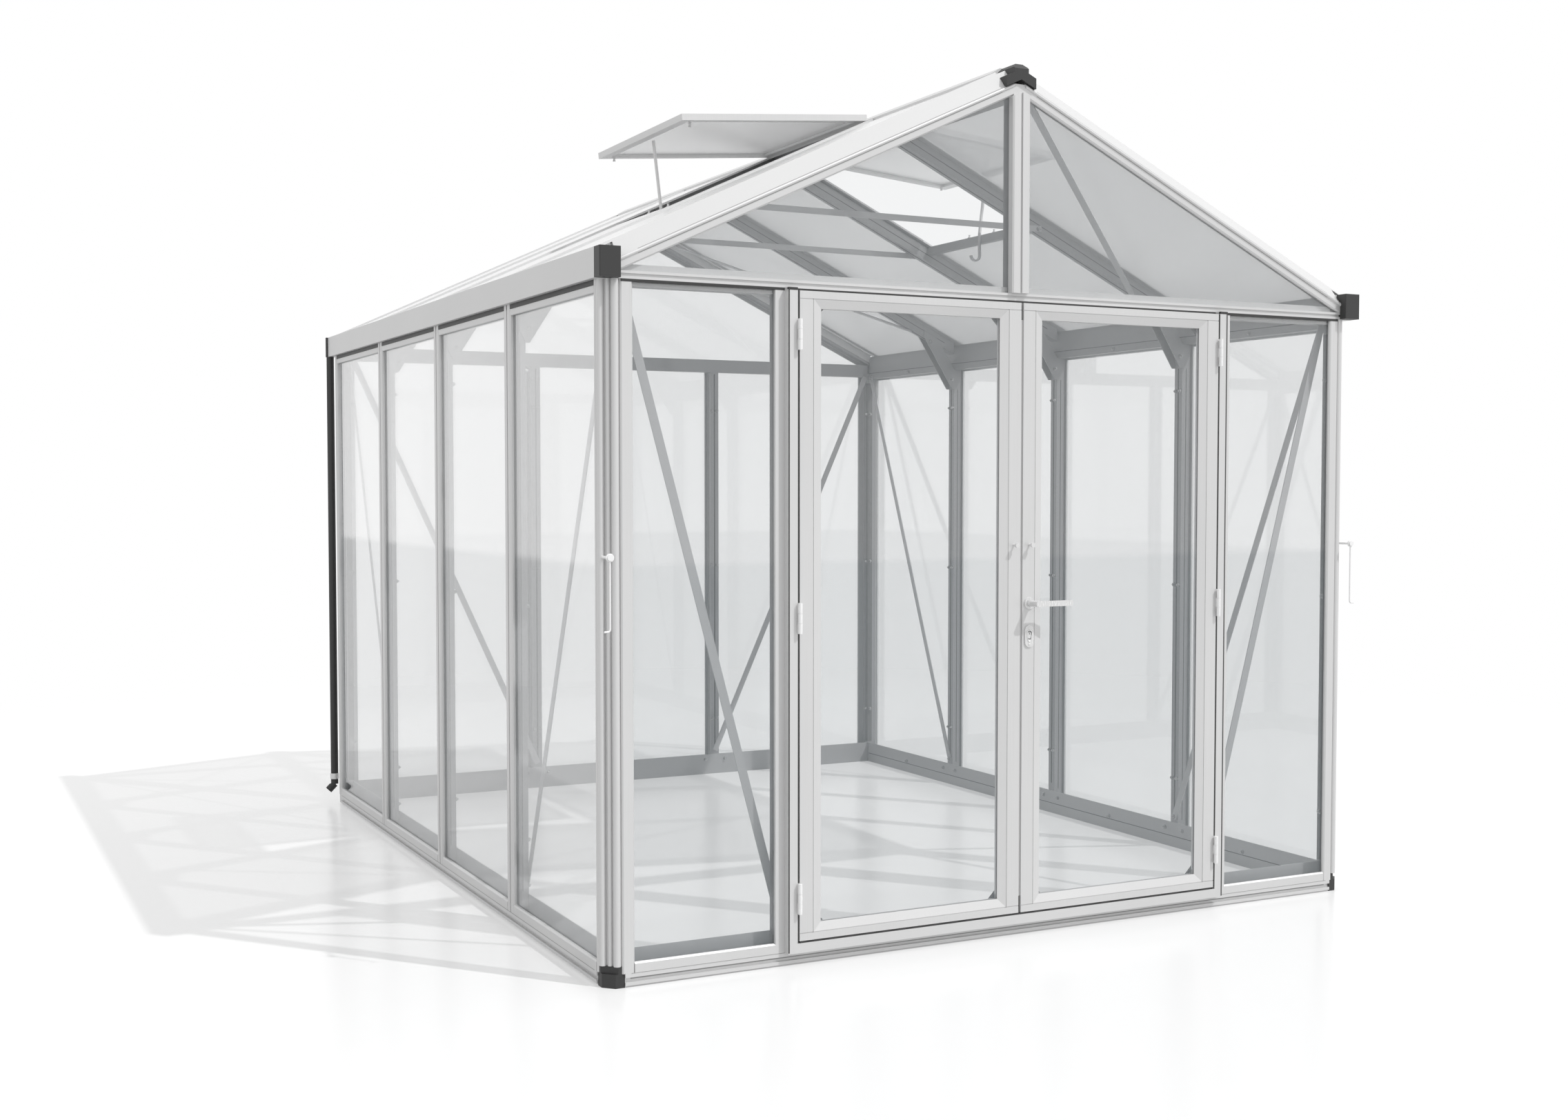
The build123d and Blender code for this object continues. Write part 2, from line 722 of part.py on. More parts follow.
def make_braces():
    braces = []
    for wall, places in BAR_PLACES.items():
        corner = WALL_HALVES[wall] - brace_top_inset
        braces.append(wall_brace(wall, -corner, places[0]))
        braces.append(wall_brace(wall, corner, places[-1]))
    corner = half_width - brace_top_inset
    foot = half_width - (door_flat_start + door_flat_end) / 2
    braces.append(wall_brace("front", -corner, -foot))
    braces.append(wall_brace("front", corner, foot))
    node("wall_braces", *braces)

    pitch = radians(roof_pitch)
    under = rafter_depth + brace_thickness
    normal = Vector(-sin(pitch), 0, cos(pitch))
    plane = Plane(origin=Vector(0, 0, roof_peak) - normal * under, x_dir=(0, 1, 0), z_dir=normal)
    top = ((post_back + pane_back) / 2 - half_depth, ridge_hat_half_width + brace_width)
    foot_reach = half_width - post_back - knee_reach - brace_width
    foot = (side_bar_places[0], foot_reach / cos(pitch))
    bar = extrude(plane * strip(top, foot, brace_width), amount=brace_thickness)
    left_pair = both_ends(bar)
    node("roof_braces", *left_pair, *[mirror(b, about=Plane.YZ) for b in left_pair])

    ties = []
    half = tie_width / 2
    for place, side in ((vent_bay[0], -1), (vent_bay[1], 1)):
        near = place + side * body_half
        far = near + side * tie_thickness
        ties.append(block(-tie_reach, tie_reach, min(near, far), max(near, far),
                          tie_height - half, tie_height + half))
    node("collar_ties", *ties)


def make_knee_plates():
    """Plates on both sides of each side bar, from the bar up to the rafter above it."""
    wall_x = post_back - half_width
    foot_x = (pane_back + post_back) / 2 - half_width
    out_x = wall_x + knee_reach
    seat_x = out_x - knee_seat
    low = side_web_low - knee_length
    middle = (panel_thickness + rafter_depth) / 2
    outline = [
        (foot_x, side_web_low),
        (foot_x, low + knee_toe),
        (wall_x, low),
        (wall_x + knee_nose, low),
        (out_x, roof_height(out_x, rafter_depth)),
        (out_x, roof_height(out_x, middle)),
        (seat_x, roof_height(seat_x, middle)),
        (wall_x, side_web_low),
    ]
    face = make_face(Polyline(outline, close=True))
    plates = []
    for place in side_bar_places:
        for near in (place - body_half - knee_thickness, place + body_half):
            plates += both_slopes(across(face, near, near + knee_thickness))
    node("knee_plates", *plates)


def make_downpipes():
    x = pipe_inset - half_width - gutter_proud
    y = pipe_place
    ring = Circle(pipe_radius) - Circle(pipe_radius - pipe_wall)
    pipe = Pos(x, y) * upright(ring, pipe_foot_height + pipe_radius, eave_height)
    elbow = Plane(origin=(x, y, pipe_foot_height + pipe_radius), x_dir=(1, 0, 0), z_dir=(-1, 0, -1))
    shoe = extrude(elbow * ring, amount=pipe_shoe_reach)
    outside = block(-reach_all, reach_all, -reach_all, reach_all, 0, pipe_foot_height + pipe_radius)
    pipe += shoe & outside
    node("downpipes", *both_slopes(pipe))


def door_edges():
    hinge_side = door_flat_end + door_gap - half_width
    return hinge_side, -door_meeting_gap / 2


def door_slab(side_inset, band_inset, y0, y1):
    """A slab of the left leaf, inset from its stiles and from its top and bottom bands."""
    outer, inner = door_edges()
    return block(outer + side_inset, inner - side_inset, y0, y1, door_low + band_inset, door_high - band_inset)


def make_door(side):
    outer, inner = door_edges()
    back = door_thickness - flat_proud
    floor = door_bead_depth - flat_proud
    side_rim = door_stile_width + door_stile_bead
    band_rim = door_band_width + door_band_bead
    leaf = door_slab(0, 0, -flat_proud, back) - door_slab(side_rim, band_rim, -flat_proud, back)
    front = Plane(origin=((outer + inner) / 2, -flat_proud, (door_low + door_high) / 2),
                  x_dir=(1, 0, 0), z_dir=(0, -1, 0))
    width = inner - outer
    height = door_high - door_low
    mouth = front * Rectangle(width - 2 * door_stile_width, height - 2 * door_band_width)
    base = front.offset(-door_bead_depth) * Rectangle(width - 2 * side_rim, height - 2 * band_rim)
    leaf -= loft([mouth, base])
    for line in (door_low + door_band_width, door_high - door_band_width - door_band_groove):
        leaf -= block(outer, inner, -flat_proud, door_band_groove - flat_proud, line, line + door_band_groove)
    pane_out = floor + pane_thickness / 2
    pane = door_slab(side_rim - door_pane_lap, band_rim - door_pane_lap, pane_out, pane_out + pane_thickness)
    leaf = WALLS["front"] * (leaf - pane)
    pane = WALLS["front"] * pane
    knob = WALLS["front"] * make_knob(inner - lever_inset + door_meeting_gap / 2)
    if side == "right":
        leaf, pane, knob = [mirror(p, about=Plane.YZ) for p in (leaf, pane, knob)]
    node(f"{side}_door_frame", leaf)
    node(f"{side}_door_pane", pane)
    node(f"{side}_door_knob", knob)


def make_knob(x):
    """A pull knob: a stem and a round head, standing out of a leaf."""
    plane = Plane(origin=(x, -flat_proud, knob_height), x_dir=(1, 0, 0), z_dir=(0, -1, 0))
    stem = extrude(plane * Circle(knob_stem_radius), amount=knob_length)
    head = extrude(plane.offset(knob_length - knob_head_length) * Circle(knob_head_radius),
                   amount=knob_head_length)
    return stem + head


def make_hinges():
    """Three butt hinges a leaf: outer knuckles and pin on the post, the middle knuckle on the leaf.

    The plates lie in the gap between post and leaf, so that only the barrels show.
    """
    outer, inner = door_edges()
    axis_x = outer - door_gap / 2
    axis_y = -flat_proud - hinge_axis_proud
    middle = (door_low + door_high) / 2
    spacing = (door_high - door_low) / 2 - hinge_end_inset
    third = hinge_length / 3
    plate_thickness = door_gap * hinge_plate_share
    gap_side = axis_x - door_gap / 2
    middle_plane = Plane(origin=(axis_x, 0, 0), z_dir=(1, 0, 0))
    post_plate = rect(gap_side, gap_side + plate_thickness, -flat_proud, hinge_plate_depth - flat_proud)
    post_strap = rect(gap_side, gap_side + plate_thickness, axis_y, -flat_proud)
    leaf_plate = mirror(post_plate, about=middle_plane)
    leaf_strap = mirror(post_strap, about=middle_plane)
    barrel = Pos(axis_x, axis_y) * Circle(hinge_radius)
    pin = Pos(axis_x, axis_y) * Circle(hinge_pin_radius)
    bore = Pos(axis_x, axis_y) * Circle(hinge_pin_radius + hinge_pin_clearance)
    fixed, moving = [], []
    for step in (-1, 0, 1):
        low = middle + step * spacing - hinge_length / 2
        post_half = upright(post_plate, low, low + hinge_length)
        post_half += upright(barrel + post_strap, low, low + third)
        post_half += upright(barrel + post_strap, low + 2 * third, low + hinge_length)
        post_half += upright(pin, low, low + hinge_length)
        knuckle_low = low + third + hinge_knuckle_gap
        knuckle_high = low + 2 * third - hinge_knuckle_gap
        leaf_half = upright(leaf_plate, low, low + hinge_length)
        leaf_half += upright(barrel + leaf_strap - bore, knuckle_low, knuckle_high)
        fixed.append(WALLS["front"] * post_half)
        moving.append(WALLS["front"] * leaf_half)
    node("post_hinges", *fixed, *[mirror(h, about=Plane.YZ) for h in fixed])
    node("left_door_hinges", *moving)
    node("right_door_hinges", *[mirror(h, about=Plane.YZ) for h in moving])


def make_lock():
    plane = Plane(origin=(lever_inset, -flat_proud, lock_plate_centre), x_dir=(1, 0, 0), z_dir=(0, -1, 0))
    plate = Pos(0, 0) * SlotOverall(lock_plate_height, lock_plate_width, rotation=90)
    keyhole = Pos(0, keyhole_radius) * Circle(keyhole_radius)
    slot = keyhole_slot_width / 2
    keyhole += rect(-slot, slot, keyhole_radius - keyhole_slot_drop, keyhole_radius)
    plate = extrude(plane * (plate - keyhole), amount=lock_plate_thickness)
    spindle = Plane(origin=(lever_inset, -flat_proud, lever_height), x_dir=(1, 0, 0), z_dir=(0, -1, 0))
    rose = spindle * (Circle(lever_rose_radius) - Circle(lever_neck_radius + running_gap))
    rose = extrude(rose, amount=lever_rose_thickness)
    node("lock_plate", WALLS["front"] * plate, WALLS["front"] * rose)

    out = lever_stand_off + lever_bar_depth - running_gap
    neck = extrude(spindle.offset(running_gap) * Circle(lever_neck_radius), amount=out)
    bar_low = lever_height - lever_bar_height / 2
    grip = block(lever_inset, lever_inset + lever_length, -flat_proud - lever_stand_off - lever_bar_depth,
                 -flat_proud - lever_stand_off, bar_low, bar_low + lever_bar_height)
    grip = fillet(grip.edges().filter_by(Axis.Y).group_by(Axis.X)[-1], lever_bar_height / 3)
    node("lever_handle", WALLS["front"] * (neck + grip))


def make_stay_hooks():
    x = side_bead_inset - half_width
    y = -hook_stand_off
    z = knob_height - hook_drop
    eye_plane = Plane(origin=(x, y + hook_eye_thickness / 2, z), x_dir=(1, 0, 0), z_dir=(0, -1, 0))
    eye = Circle(hook_eye_radius) - Circle(hook_bolt_radius + running_gap)
    eye = extrude(eye_plane * eye, amount=hook_eye_thickness)
    top = z - hook_eye_radius + hook_wire_radius
    tip = z - hook_length
    path = FilletPolyline((x, y, top), (x, y, tip), (x - hook_finger, y, tip), radius=hook_bend)
    section = Plane(origin=(x, y, top), x_dir=(1, 0, 0), z_dir=(0, 0, -1)) * Circle(hook_wire_radius)
    hook = WALLS["front"] * (eye + sweep(section, path=path))
    node("left_stay_hook", hook)
    node("right_stay_hook", mirror(hook, about=Plane.YZ))

    bolt_plane = Plane(origin=(x, side_bead_offset, z), x_dir=(1, 0, 0), z_dir=(0, -1, 0))
    eye_front = side_bead_offset + hook_stand_off + hook_eye_thickness / 2 + running_gap
    bolt = extrude(bolt_plane * Circle(hook_bolt_radius), amount=eye_front)
    head_radius = hook_eye_radius - hook_wire_radius - running_gap
    bolt += extrude(bolt_plane.offset(eye_front) * Circle(head_radius), amount=hook_bolt_head_length)
    bolt = WALLS["front"] * bolt
    bolts = both_slopes(bolt)
    node("stay_hook_bolts", *bolts)


make_base_rails()
make_corner_feet()
make_corner_posts()
make_wall_bars()
make_bottom_trims()
make_door_posts()
make_eave_beams()
make_gutters()
make_gable()
make_gable_panes()
make_wall_panes()
make_roof()
make_ridge()
make_ridge_caps()
make_vents()
make_braces()
make_knee_plates()
make_downpipes()
make_door("left")
make_door("right")
make_hinges()
make_lock()
make_stay_hooks()

os.makedirs("parts", exist_ok=True)
for name, solids in NODES.items():
    pieces = [s for part in solids for s in part.solids()]
    shape = pieces[0] if len(pieces) == 1 else Compound(children=pieces)
    export_step(shape, f"parts/{name}.step")
    print(name, len(pieces))
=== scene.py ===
# %% [markdown]
# A gabled greenhouse of aluminium profiles and glass. The profiles, panes, doors and fittings come from the
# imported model, in metres and in place. What is added here is what a fitter would add last: the seals, trims,
# bolts and pins, and then the finishes and the light that show them.

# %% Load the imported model
import json
from math import atan2, cos, radians, sqrt, tan

import bpy
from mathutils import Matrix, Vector


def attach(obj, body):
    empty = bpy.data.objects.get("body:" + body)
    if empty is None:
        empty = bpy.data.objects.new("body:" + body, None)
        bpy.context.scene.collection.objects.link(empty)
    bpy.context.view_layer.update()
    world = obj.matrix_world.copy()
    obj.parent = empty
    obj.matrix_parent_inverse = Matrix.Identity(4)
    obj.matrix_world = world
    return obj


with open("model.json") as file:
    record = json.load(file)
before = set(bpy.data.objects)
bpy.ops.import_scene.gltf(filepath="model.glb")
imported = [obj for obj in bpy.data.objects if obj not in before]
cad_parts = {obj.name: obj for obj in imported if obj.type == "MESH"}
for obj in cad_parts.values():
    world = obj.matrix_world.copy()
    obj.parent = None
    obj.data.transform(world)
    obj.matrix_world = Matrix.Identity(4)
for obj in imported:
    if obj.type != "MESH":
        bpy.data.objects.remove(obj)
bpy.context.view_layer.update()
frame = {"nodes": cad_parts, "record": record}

# %% [markdown]
# The camera stands in front of the left front corner, a little below the eaves, and looks slightly down. Its
# lens and place were solved from the vanishing points of the frame, so they are typed in as real sizes.

# %% Camera
camera_place = (-2.9026, -5.7879, 1.3105)
camera_turn = -26.816
camera_dip = 2.39
camera_lens = 40.356
sensor_width = 36

bpy.ops.object.select_all(action="DESELECT")
camera_tilt = (radians(90 - camera_dip), 0, radians(camera_turn))
bpy.ops.object.camera_add(location=camera_place, rotation=camera_tilt)
camera = bpy.context.object
camera.data.sensor_fit = "HORIZONTAL"
camera.data.sensor_width = sensor_width
camera.data.lens = camera_lens
bpy.context.scene.camera = camera
print("camera", camera.name, camera.data.lens)

# %% [markdown]
# Finishes are made of shader nodes, and their maths reads best as plain sums. One small class wraps the
# socket that a value leaves by, and turns operators into Math nodes.


# %% Shader numbers
class Number:
    """A value that leaves a node; sums and products of it add Math nodes."""

    def __init__(self, finish, socket):
        self.finish = finish
        self.socket = socket

    def math(self, operation, first, second=0.0):
        return self.finish.node("ShaderNodeMath", {"operation": operation}, {0: first, 1: second})

    def __add__(self, other):
        return self.math("ADD", self, other)

    def __sub__(self, other):
        return self.math("SUBTRACT", self, other)

    def __rsub__(self, other):
        return self.math("SUBTRACT", other, self)

    def __mul__(self, other):
        return self.math("MULTIPLY", self, other)

    def __pow__(self, other):
        return self.math("POWER", self, other)

    def __gt__(self, other):
        return self.math("GREATER_THAN", self, other)

    def __abs__(self):
        return self.math("ABSOLUTE", self)

    def larger(self, other):
        return self.math("MAXIMUM", self, other)


print("shader numbers", Number.__name__)

# %% [markdown]
# A second class holds a material and its nodes. One method makes any node from its type, its settings and its
# inputs, and the others are the few nodes that these finishes share. A Mix node has sockets for every kind of
# value, so the ones for colours are named first.

# %% Shader nodes
mix_share, mix_first, mix_second, mix_result = 0, 6, 7, 2


class Finish:
    """A material, or the world, and its nodes."""

    def __init__(self, name, tree=None):
        if tree is None:
            self.material = bpy.data.materials.new(name)
            self.material.use_nodes = True
            tree = self.material.node_tree
        self.tree = tree

    def node(self, kind, settings, inputs, output=0):
        made = self.tree.nodes.new(kind)
        for key, value in settings.items():
            setattr(made, key, value)
        for key, value in inputs.items():
            self.feed(made.inputs[key], value)
        return Number(self, made.outputs[output])

    def feed(self, socket, value):
        if isinstance(value, Number):
            self.tree.links.new(value.socket, socket)
        else:
            socket.default_value = value

    def spot(self):
        """Object coordinates: the place on the house, in metres."""
        return self.node("ShaderNodeTexCoord", {}, {}, "Object")

    def axes(self):
        """The three numbers of a place on the house."""
        place = self.node("ShaderNodeSeparateXYZ", {}, {0: self.spot()})
        outputs = place.socket.node.outputs
        return [Number(self, outputs[k]) for k in range(3)]

    def noise(self, scale, detail=2.0):
        """Noise whose grain is scaled apart along each axis."""
        place = self.node("ShaderNodeMapping", {}, {"Vector": self.spot(), "Scale": scale})
        return self.node("ShaderNodeTexNoise", {}, {"Vector": place, "Scale": 1.0, "Detail": detail})

    def ramp(self, value, start, end):
        """Nought before the start, one past the end, and smooth between them."""
        inputs = {"Value": value, "From Min": start, "From Max": end}
        return self.node("ShaderNodeMapRange", {"interpolation_type": "SMOOTHSTEP"}, inputs)

    def mix(self, share, first, second):
        inputs = {mix_share: share, mix_first: first, mix_second: second}
        return self.node("ShaderNodeMix", {"data_type": "RGBA"}, inputs, mix_result)

    def bump(self, height, strength, distance):
        return self.node("ShaderNodeBump", {}, {"Height": height, "Strength": strength, "Distance": distance})

    def shade(self, **values):
        shader = self.tree.nodes["Principled BSDF"]
        for key, value in values.items():
            self.feed(shader.inputs[key.replace("_", " ").title().replace("Ior", "IOR")], value)
        return self.material

    def cover(self, share, shader):
        """Lays another shader over the finish, by a share that may change over the surface."""
        below = Number(self, self.tree.nodes["Principled BSDF"].outputs[0])
        blend = self.node("ShaderNodeMixShader", {}, {0: share, 1: below, 2: shader})
        self.feed(self.tree.nodes["Material Output"].inputs["Surface"], blend)
        return self.material


def grey(level, blue=0.0):
    """A grey, with a little blue in it where asked."""
    return (level, level, level + blue, 1)


white = grey(1)
print("shader nodes", Finish.__name__)

# %% [markdown]
# The profiles are pale outside. Inside the house they take a darker, less metallic copy of the same metal,
# which is painted shade for the shade that falls inside. One finish can hold both, because the panes and roof
# sheets lie in known planes: what is beyond them is outside. The cut corners of the posts and the sloping
# verges have planes of their own.

# %% Inside and outside
pane_plane_x = 1.265
pane_plane_y = 1.530
corner_plane = 2.758
roof_pitch = radians(25)
roof_slope = tan(roof_pitch)
roof_peak = 2.5201


def outside_mask(finish, roof_drop):
    """One beyond the wall panes, the cut corners and the roof sheets, nought inside the house."""
    x, y, z = finish.axes()
    beyond_walls = (abs(x) - pane_plane_x).larger(abs(y) - pane_plane_y)
    beyond_corners = abs(x) + abs(y) - corner_plane
    above_roof = z + abs(x) * roof_slope - (roof_peak - roof_drop)
    return beyond_walls.larger(beyond_corners).larger(above_roof) > 0.0


print("roof peak", roof_peak, "slope", round(roof_slope, 3))

# %% [markdown]
# The die leaves faint lines along a profile. They are noise stretched along it, so there is one finish each
# for uprights, for bars along X and for bars along Y. The base rails and the flat bars of the braces lie more
# in the light than the bars do, so less shade is painted into their inside colour, which is paler.

# %% Aluminium
outside_levels = (0.65, 0.75)
# Inside colours with painted shade: lighter for the base rails and flat bars, which lie more in the light.
bar_shaded_level, base_shaded_level, flat_bar_shaded_level = 0.30, 0.42, 0.46
inside_spread, inside_blue = 0.09, 0.006
metal_inside, metal_added_outside = 0.2, 0.1
cloud_grain = (2.5, 2.5, 2.5)
line_grain, line_stretch = 800, 3
line_bump, line_height = 0.08, 0.0004
line_roughness, line_roughness_spread = 0.34, 0.16
verge_depth = 0.048


def aluminium(name, grain, shaded_level=bar_shaded_level, roof_drop=0.0):
    finish = Finish(name)
    lines = finish.noise(grain)
    clouds = finish.noise(cloud_grain, detail=3.0)
    wear = lines * 0.5 + clouds * 0.5
    outside = outside_mask(finish, roof_drop)
    # The pale mix is the metal's own colour; the darker mix for the inside of the house is painted shade.
    outside_colour = finish.mix(wear, grey(outside_levels[0]), grey(outside_levels[1]))
    shaded_inside = finish.mix(wear, grey(shaded_level, inside_blue), grey(shaded_level + inside_spread, inside_blue))
    return finish.shade(
        base_color=finish.mix(outside, shaded_inside, outside_colour),
        metallic=outside * metal_added_outside + metal_inside,
        roughness=lines * line_roughness_spread + line_roughness,
        normal=finish.bump(lines, line_bump, line_height),
    )


upright = (line_grain, line_grain, line_stretch)
crosswise = (line_stretch, line_grain, line_grain)
lengthwise = (line_grain, line_stretch, line_grain)
upright_metal = aluminium("aluminium_upright", upright)
crosswise_metal = aluminium("aluminium_crosswise", crosswise)
lengthwise_metal = aluminium("aluminium_lengthwise", lengthwise)
verge_metal = aluminium("aluminium_verge", crosswise, roof_drop=verge_depth)
front_base_metal = aluminium("aluminium_base_crosswise", crosswise, base_shaded_level)
side_base_metal = aluminium("aluminium_base_lengthwise", lengthwise, base_shaded_level)
flat_bar_metal = aluminium("aluminium_flat_bar", upright, flat_bar_shaded_level)
print("aluminium", [m.name for m in bpy.data.materials if m.name.startswith("aluminium")])

# %% [markdown]
# Feet, caps, seals and downpipes are black plastic, moulded with a fine grain that takes the shine off. Noise
# much finer than a millimetre gives the grain, in the colour, the roughness and a slight bump.

# %% Black plastic
plastic_levels = (0.026, 0.044)
plastic_grain = (700, 700, 700)
plastic_bump, plastic_height = 0.2, 0.0004
plastic_roughness, plastic_roughness_spread = 0.42, 0.15


def black_plastic():
    finish = Finish("black_plastic")
    grain = finish.noise(plastic_grain)
    return finish.shade(
        base_color=finish.mix(grain, grey(plastic_levels[0]), grey(plastic_levels[1])),
        roughness=grain * plastic_roughness_spread + plastic_roughness,
        normal=finish.bump(grain, plastic_bump, plastic_height),
    )


finishes = {"frame_aluminium": upright_metal, "black_plastic": black_plastic()}
print("plastic", finishes["black_plastic"].name)

# %% [markdown]
# The panes are clear glass with a faint blue-grey cast. They are thin, so they are see-through by Alpha: light
# passes straight on. A ray crosses two faces of every pane, so each face takes only half of what the pane
# should. Below a set height the walls are painted darker, with more tint and less gloss: a painted reflection
# of the floor below the horizon. Seen at a flat angle, panes turn white with gloss, which Layer Weight gives.
# The gloss leaves shadow rays alone, or the sun wouldn't come through.

# %% Glass
horizon_height, horizon_fade = 1.12, 0.03
film_grain = (1.4, 1.4, 0.9)
glass_tint = (0.31, 0.37, 0.40, 1)
glass_roughness, glass_ior = 0.02, 1.5
pane_alpha, film_alpha, painted_reflection_alpha = 0.07, 0.02, 0.045
painted_reflection_dulling = 0.45


def flat_angle_gloss(finish, least, power, roughness, kept_gloss_share=1.0):
    """White gloss that grows as a pane or sheet is seen at a flatter angle, scaled by a share that may be less
    than one; sunlight passes it.
    """
    flatness = finish.node("ShaderNodeLayerWeight", {}, {"Blend": 0.5}, "Facing")
    sunlight = finish.node("ShaderNodeLightPath", {}, {}, "Is Shadow Ray")
    look = {"Base Color": white, "Metallic": 1.0, "Roughness": roughness}
    gloss = finish.node("ShaderNodeBsdfPrincipled", {}, look)
    return finish.cover((flatness ** power * (1 - least) + least) * (1 - sunlight) * kept_gloss_share, gloss)


def clear_glass():
    finish = Finish("clear_glass")
    film = finish.noise(film_grain)
    height = finish.axes()[2]
    # Painted reflection: one below this height, where the panes take more tint and less gloss, darker as where
    # they reflect the floor.
    painted_shade_mask = finish.ramp(height, horizon_height, horizon_height - horizon_fade)
    finish.shade(
        base_color=glass_tint,
        roughness=glass_roughness,
        ior=glass_ior,
        alpha=film * film_alpha + painted_shade_mask * painted_reflection_alpha + pane_alpha,
    )
    # Less gloss low on the walls, the other half of the painted reflection.
    kept_gloss = 1 - painted_shade_mask * painted_reflection_dulling
    return flat_angle_gloss(finish, least=0.05, power=3, roughness=glass_roughness, kept_gloss_share=kept_gloss)


finishes["clear_glass"] = clear_glass()
print("glass", finishes["clear_glass"].name)

# %% [markdown]
# The roof is translucent sheet with two thin walls and ribs between them. A wave texture that runs along the
# house draws the ribs, and a haze over them keeps them from looking ruled.

# %% Roof sheet
sheet_levels, sheet_blue = (0.80, 0.88), 0.004
sheet_roughness, sheet_alpha = 0.35, 0.48
haze_grain = (2, 2, 2)
rib_scale = 31.0
rib_bump, rib_height = 0.1, 0.001


def roof_sheet():
    finish = Finish("roof_sheet")
    waves = {"Vector": finish.spot(), "Scale": rib_scale}
    ribs = finish.node("ShaderNodeTexWave", {"bands_direction": "Y"}, waves, "Fac")
    haze = finish.noise(haze_grain)
    pale, paler = (grey(level, sheet_blue) for level in sheet_levels)
    finish.shade(
        base_color=finish.mix(ribs * 0.5 + haze * 0.5, pale, paler),
        roughness=sheet_roughness,
        alpha=sheet_alpha,
        normal=finish.bump(ribs, rib_bump, rib_height),
    )
    return flat_angle_gloss(finish, least=0.02, power=8, roughness=0.25)


finishes["roof_sheet"] = roof_sheet()
print("sheet", finishes["roof_sheet"].name)

# %% [markdown]
# Lock, hinges, hooks and bolts are brushed metal, from nearly white to dull grey. The bottom of a slot is the
# same metal with little light on it, so its shade is painted: a dark finish with a faint mottle, and no slot
# has to be cut.

# %% Bright metal and metal in shadow
brushing_grain, brushing_spread = (500, 500, 60), 0.06
brushing_roughness, brushing_roughness_spread = 0.2, 0.12
shadow_grain, shadow_spread = (60, 60, 60), 1.5
shadow_roughness = 0.6


def bright_metal(name, level, metallic):
    finish = Finish(name)
    brushing = finish.noise(brushing_grain)
    return finish.shade(
        base_color=finish.mix(brushing, grey(level), grey(level + brushing_spread)),
        metallic=metallic,
        roughness=brushing * brushing_roughness_spread + brushing_roughness,
    )


def shadow_metal(name, level):
    """Metal deep in a bolt slot or a groove, where little light comes."""
    finish = Finish(name)
    painted_shade_mask = finish.noise(shadow_grain)
    return finish.shade(
        base_color=finish.mix(painted_shade_mask, grey(level), grey(level * shadow_spread)),
        roughness=shadow_roughness,
    )


finishes["bright_fittings"] = bright_metal("bright_metal", level=0.74, metallic=0.4)
white_metal = bright_metal("white_metal", level=0.93, metallic=0.10)
bolt_metal = bright_metal("bolt_metal", level=0.42, metallic=0.6)
slot_shade = shadow_metal("shadow_metal", level=0.055)
line_shade = shadow_metal("line_metal", level=0.30)
channel_shade = shadow_metal("channel_metal", level=0.14)
print("metals", white_metal.name, bolt_metal.name, slot_shade.name, line_shade.name, channel_shade.name)

# %% [markdown]
# Each node takes the finish of its material slot. A profile that lies along another axis, or a fitting that
# is whiter than the rest, is named with its own finish instead.

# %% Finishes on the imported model
special_finishes = {
    front_base_metal: ("front_base_rail", "rear_base_rail"),
    side_base_metal: ("side_base_rails",),
    crosswise_metal: ("door_sill", "rafters", "rafter_caps"),
    lengthwise_metal: ("ridge_beam", "gutters", "vent_cross_bars"),
    verge_metal: ("gable_rafters",),
    flat_bar_metal: ("wall_braces", "roof_braces", "collar_ties", "vent_stays"),
    white_metal: ("post_hinges", "left_door_hinges", "right_door_hinges",
                  "left_stay_hook", "right_stay_hook", "stay_hook_bolts"),
}
finish_of = {name: finish for finish, names in special_finishes.items() for name in names}
for subpart in frame["record"]["subparts"]:
    name = subpart["node"]
    finish = finish_of.get(name, finishes[subpart["material_slot"]])
    frame["nodes"][name].material_slots[0].material = finish
print("finishes", sorted(finishes), "and", len(special_finishes), "special ones")

# %% [markdown]
# Small pieces are modelled as by hand: a cube or cylinder is added at its size and place, its faces are
# picked by where they point, and edit-mode operators shape it. These helpers are the strokes that every piece
# repeats.

# %% Modelling helpers
facing_least = 0.9


def new_block(low, high):
    """A cube between two corners, with its place in its mesh."""
    bpy.ops.object.select_all(action="DESELECT")
    middle = [(a + b) / 2 for a, b in zip(low, high)]
    bpy.ops.mesh.primitive_cube_add(size=1, location=middle)
    piece = bpy.context.object
    piece.scale = [b - a for a, b in zip(low, high)]
    bpy.ops.object.transform_apply(location=True, rotation=True, scale=True)
    return piece


def new_peg(sides, radius, height):
    """A cylinder that stands on the origin."""
    bpy.ops.object.select_all(action="DESELECT")
    bpy.ops.mesh.primitive_cylinder_add(vertices=sides, radius=radius, depth=height,
                                        location=(0, 0, height / 2))
    bpy.ops.object.transform_apply(location=True)
    return bpy.context.object


def soften(piece, width, segments=2):
    """Bevels every edge of a piece."""
    bpy.ops.object.mode_set(mode="EDIT")
    bpy.ops.mesh.select_all(action="SELECT")
    bpy.ops.mesh.bevel(offset=width, segments=segments, affect="EDGES")
    bpy.ops.object.mode_set(mode="OBJECT")
    return piece


def pick(piece, keep):
    """Opens a piece in edit mode with only those faces selected that keep(centre, normal) accepts."""
    bpy.ops.object.mode_set(mode="EDIT")
    bpy.ops.mesh.select_mode(type="FACE")
    bpy.ops.mesh.select_all(action="DESELECT")
    bpy.ops.object.mode_set(mode="OBJECT")
    for face in piece.data.polygons:
        face.select = keep(face.center, face.normal)
    bpy.ops.object.mode_set(mode="EDIT")


def on_top(centre, normal):
    return normal.z > facing_least


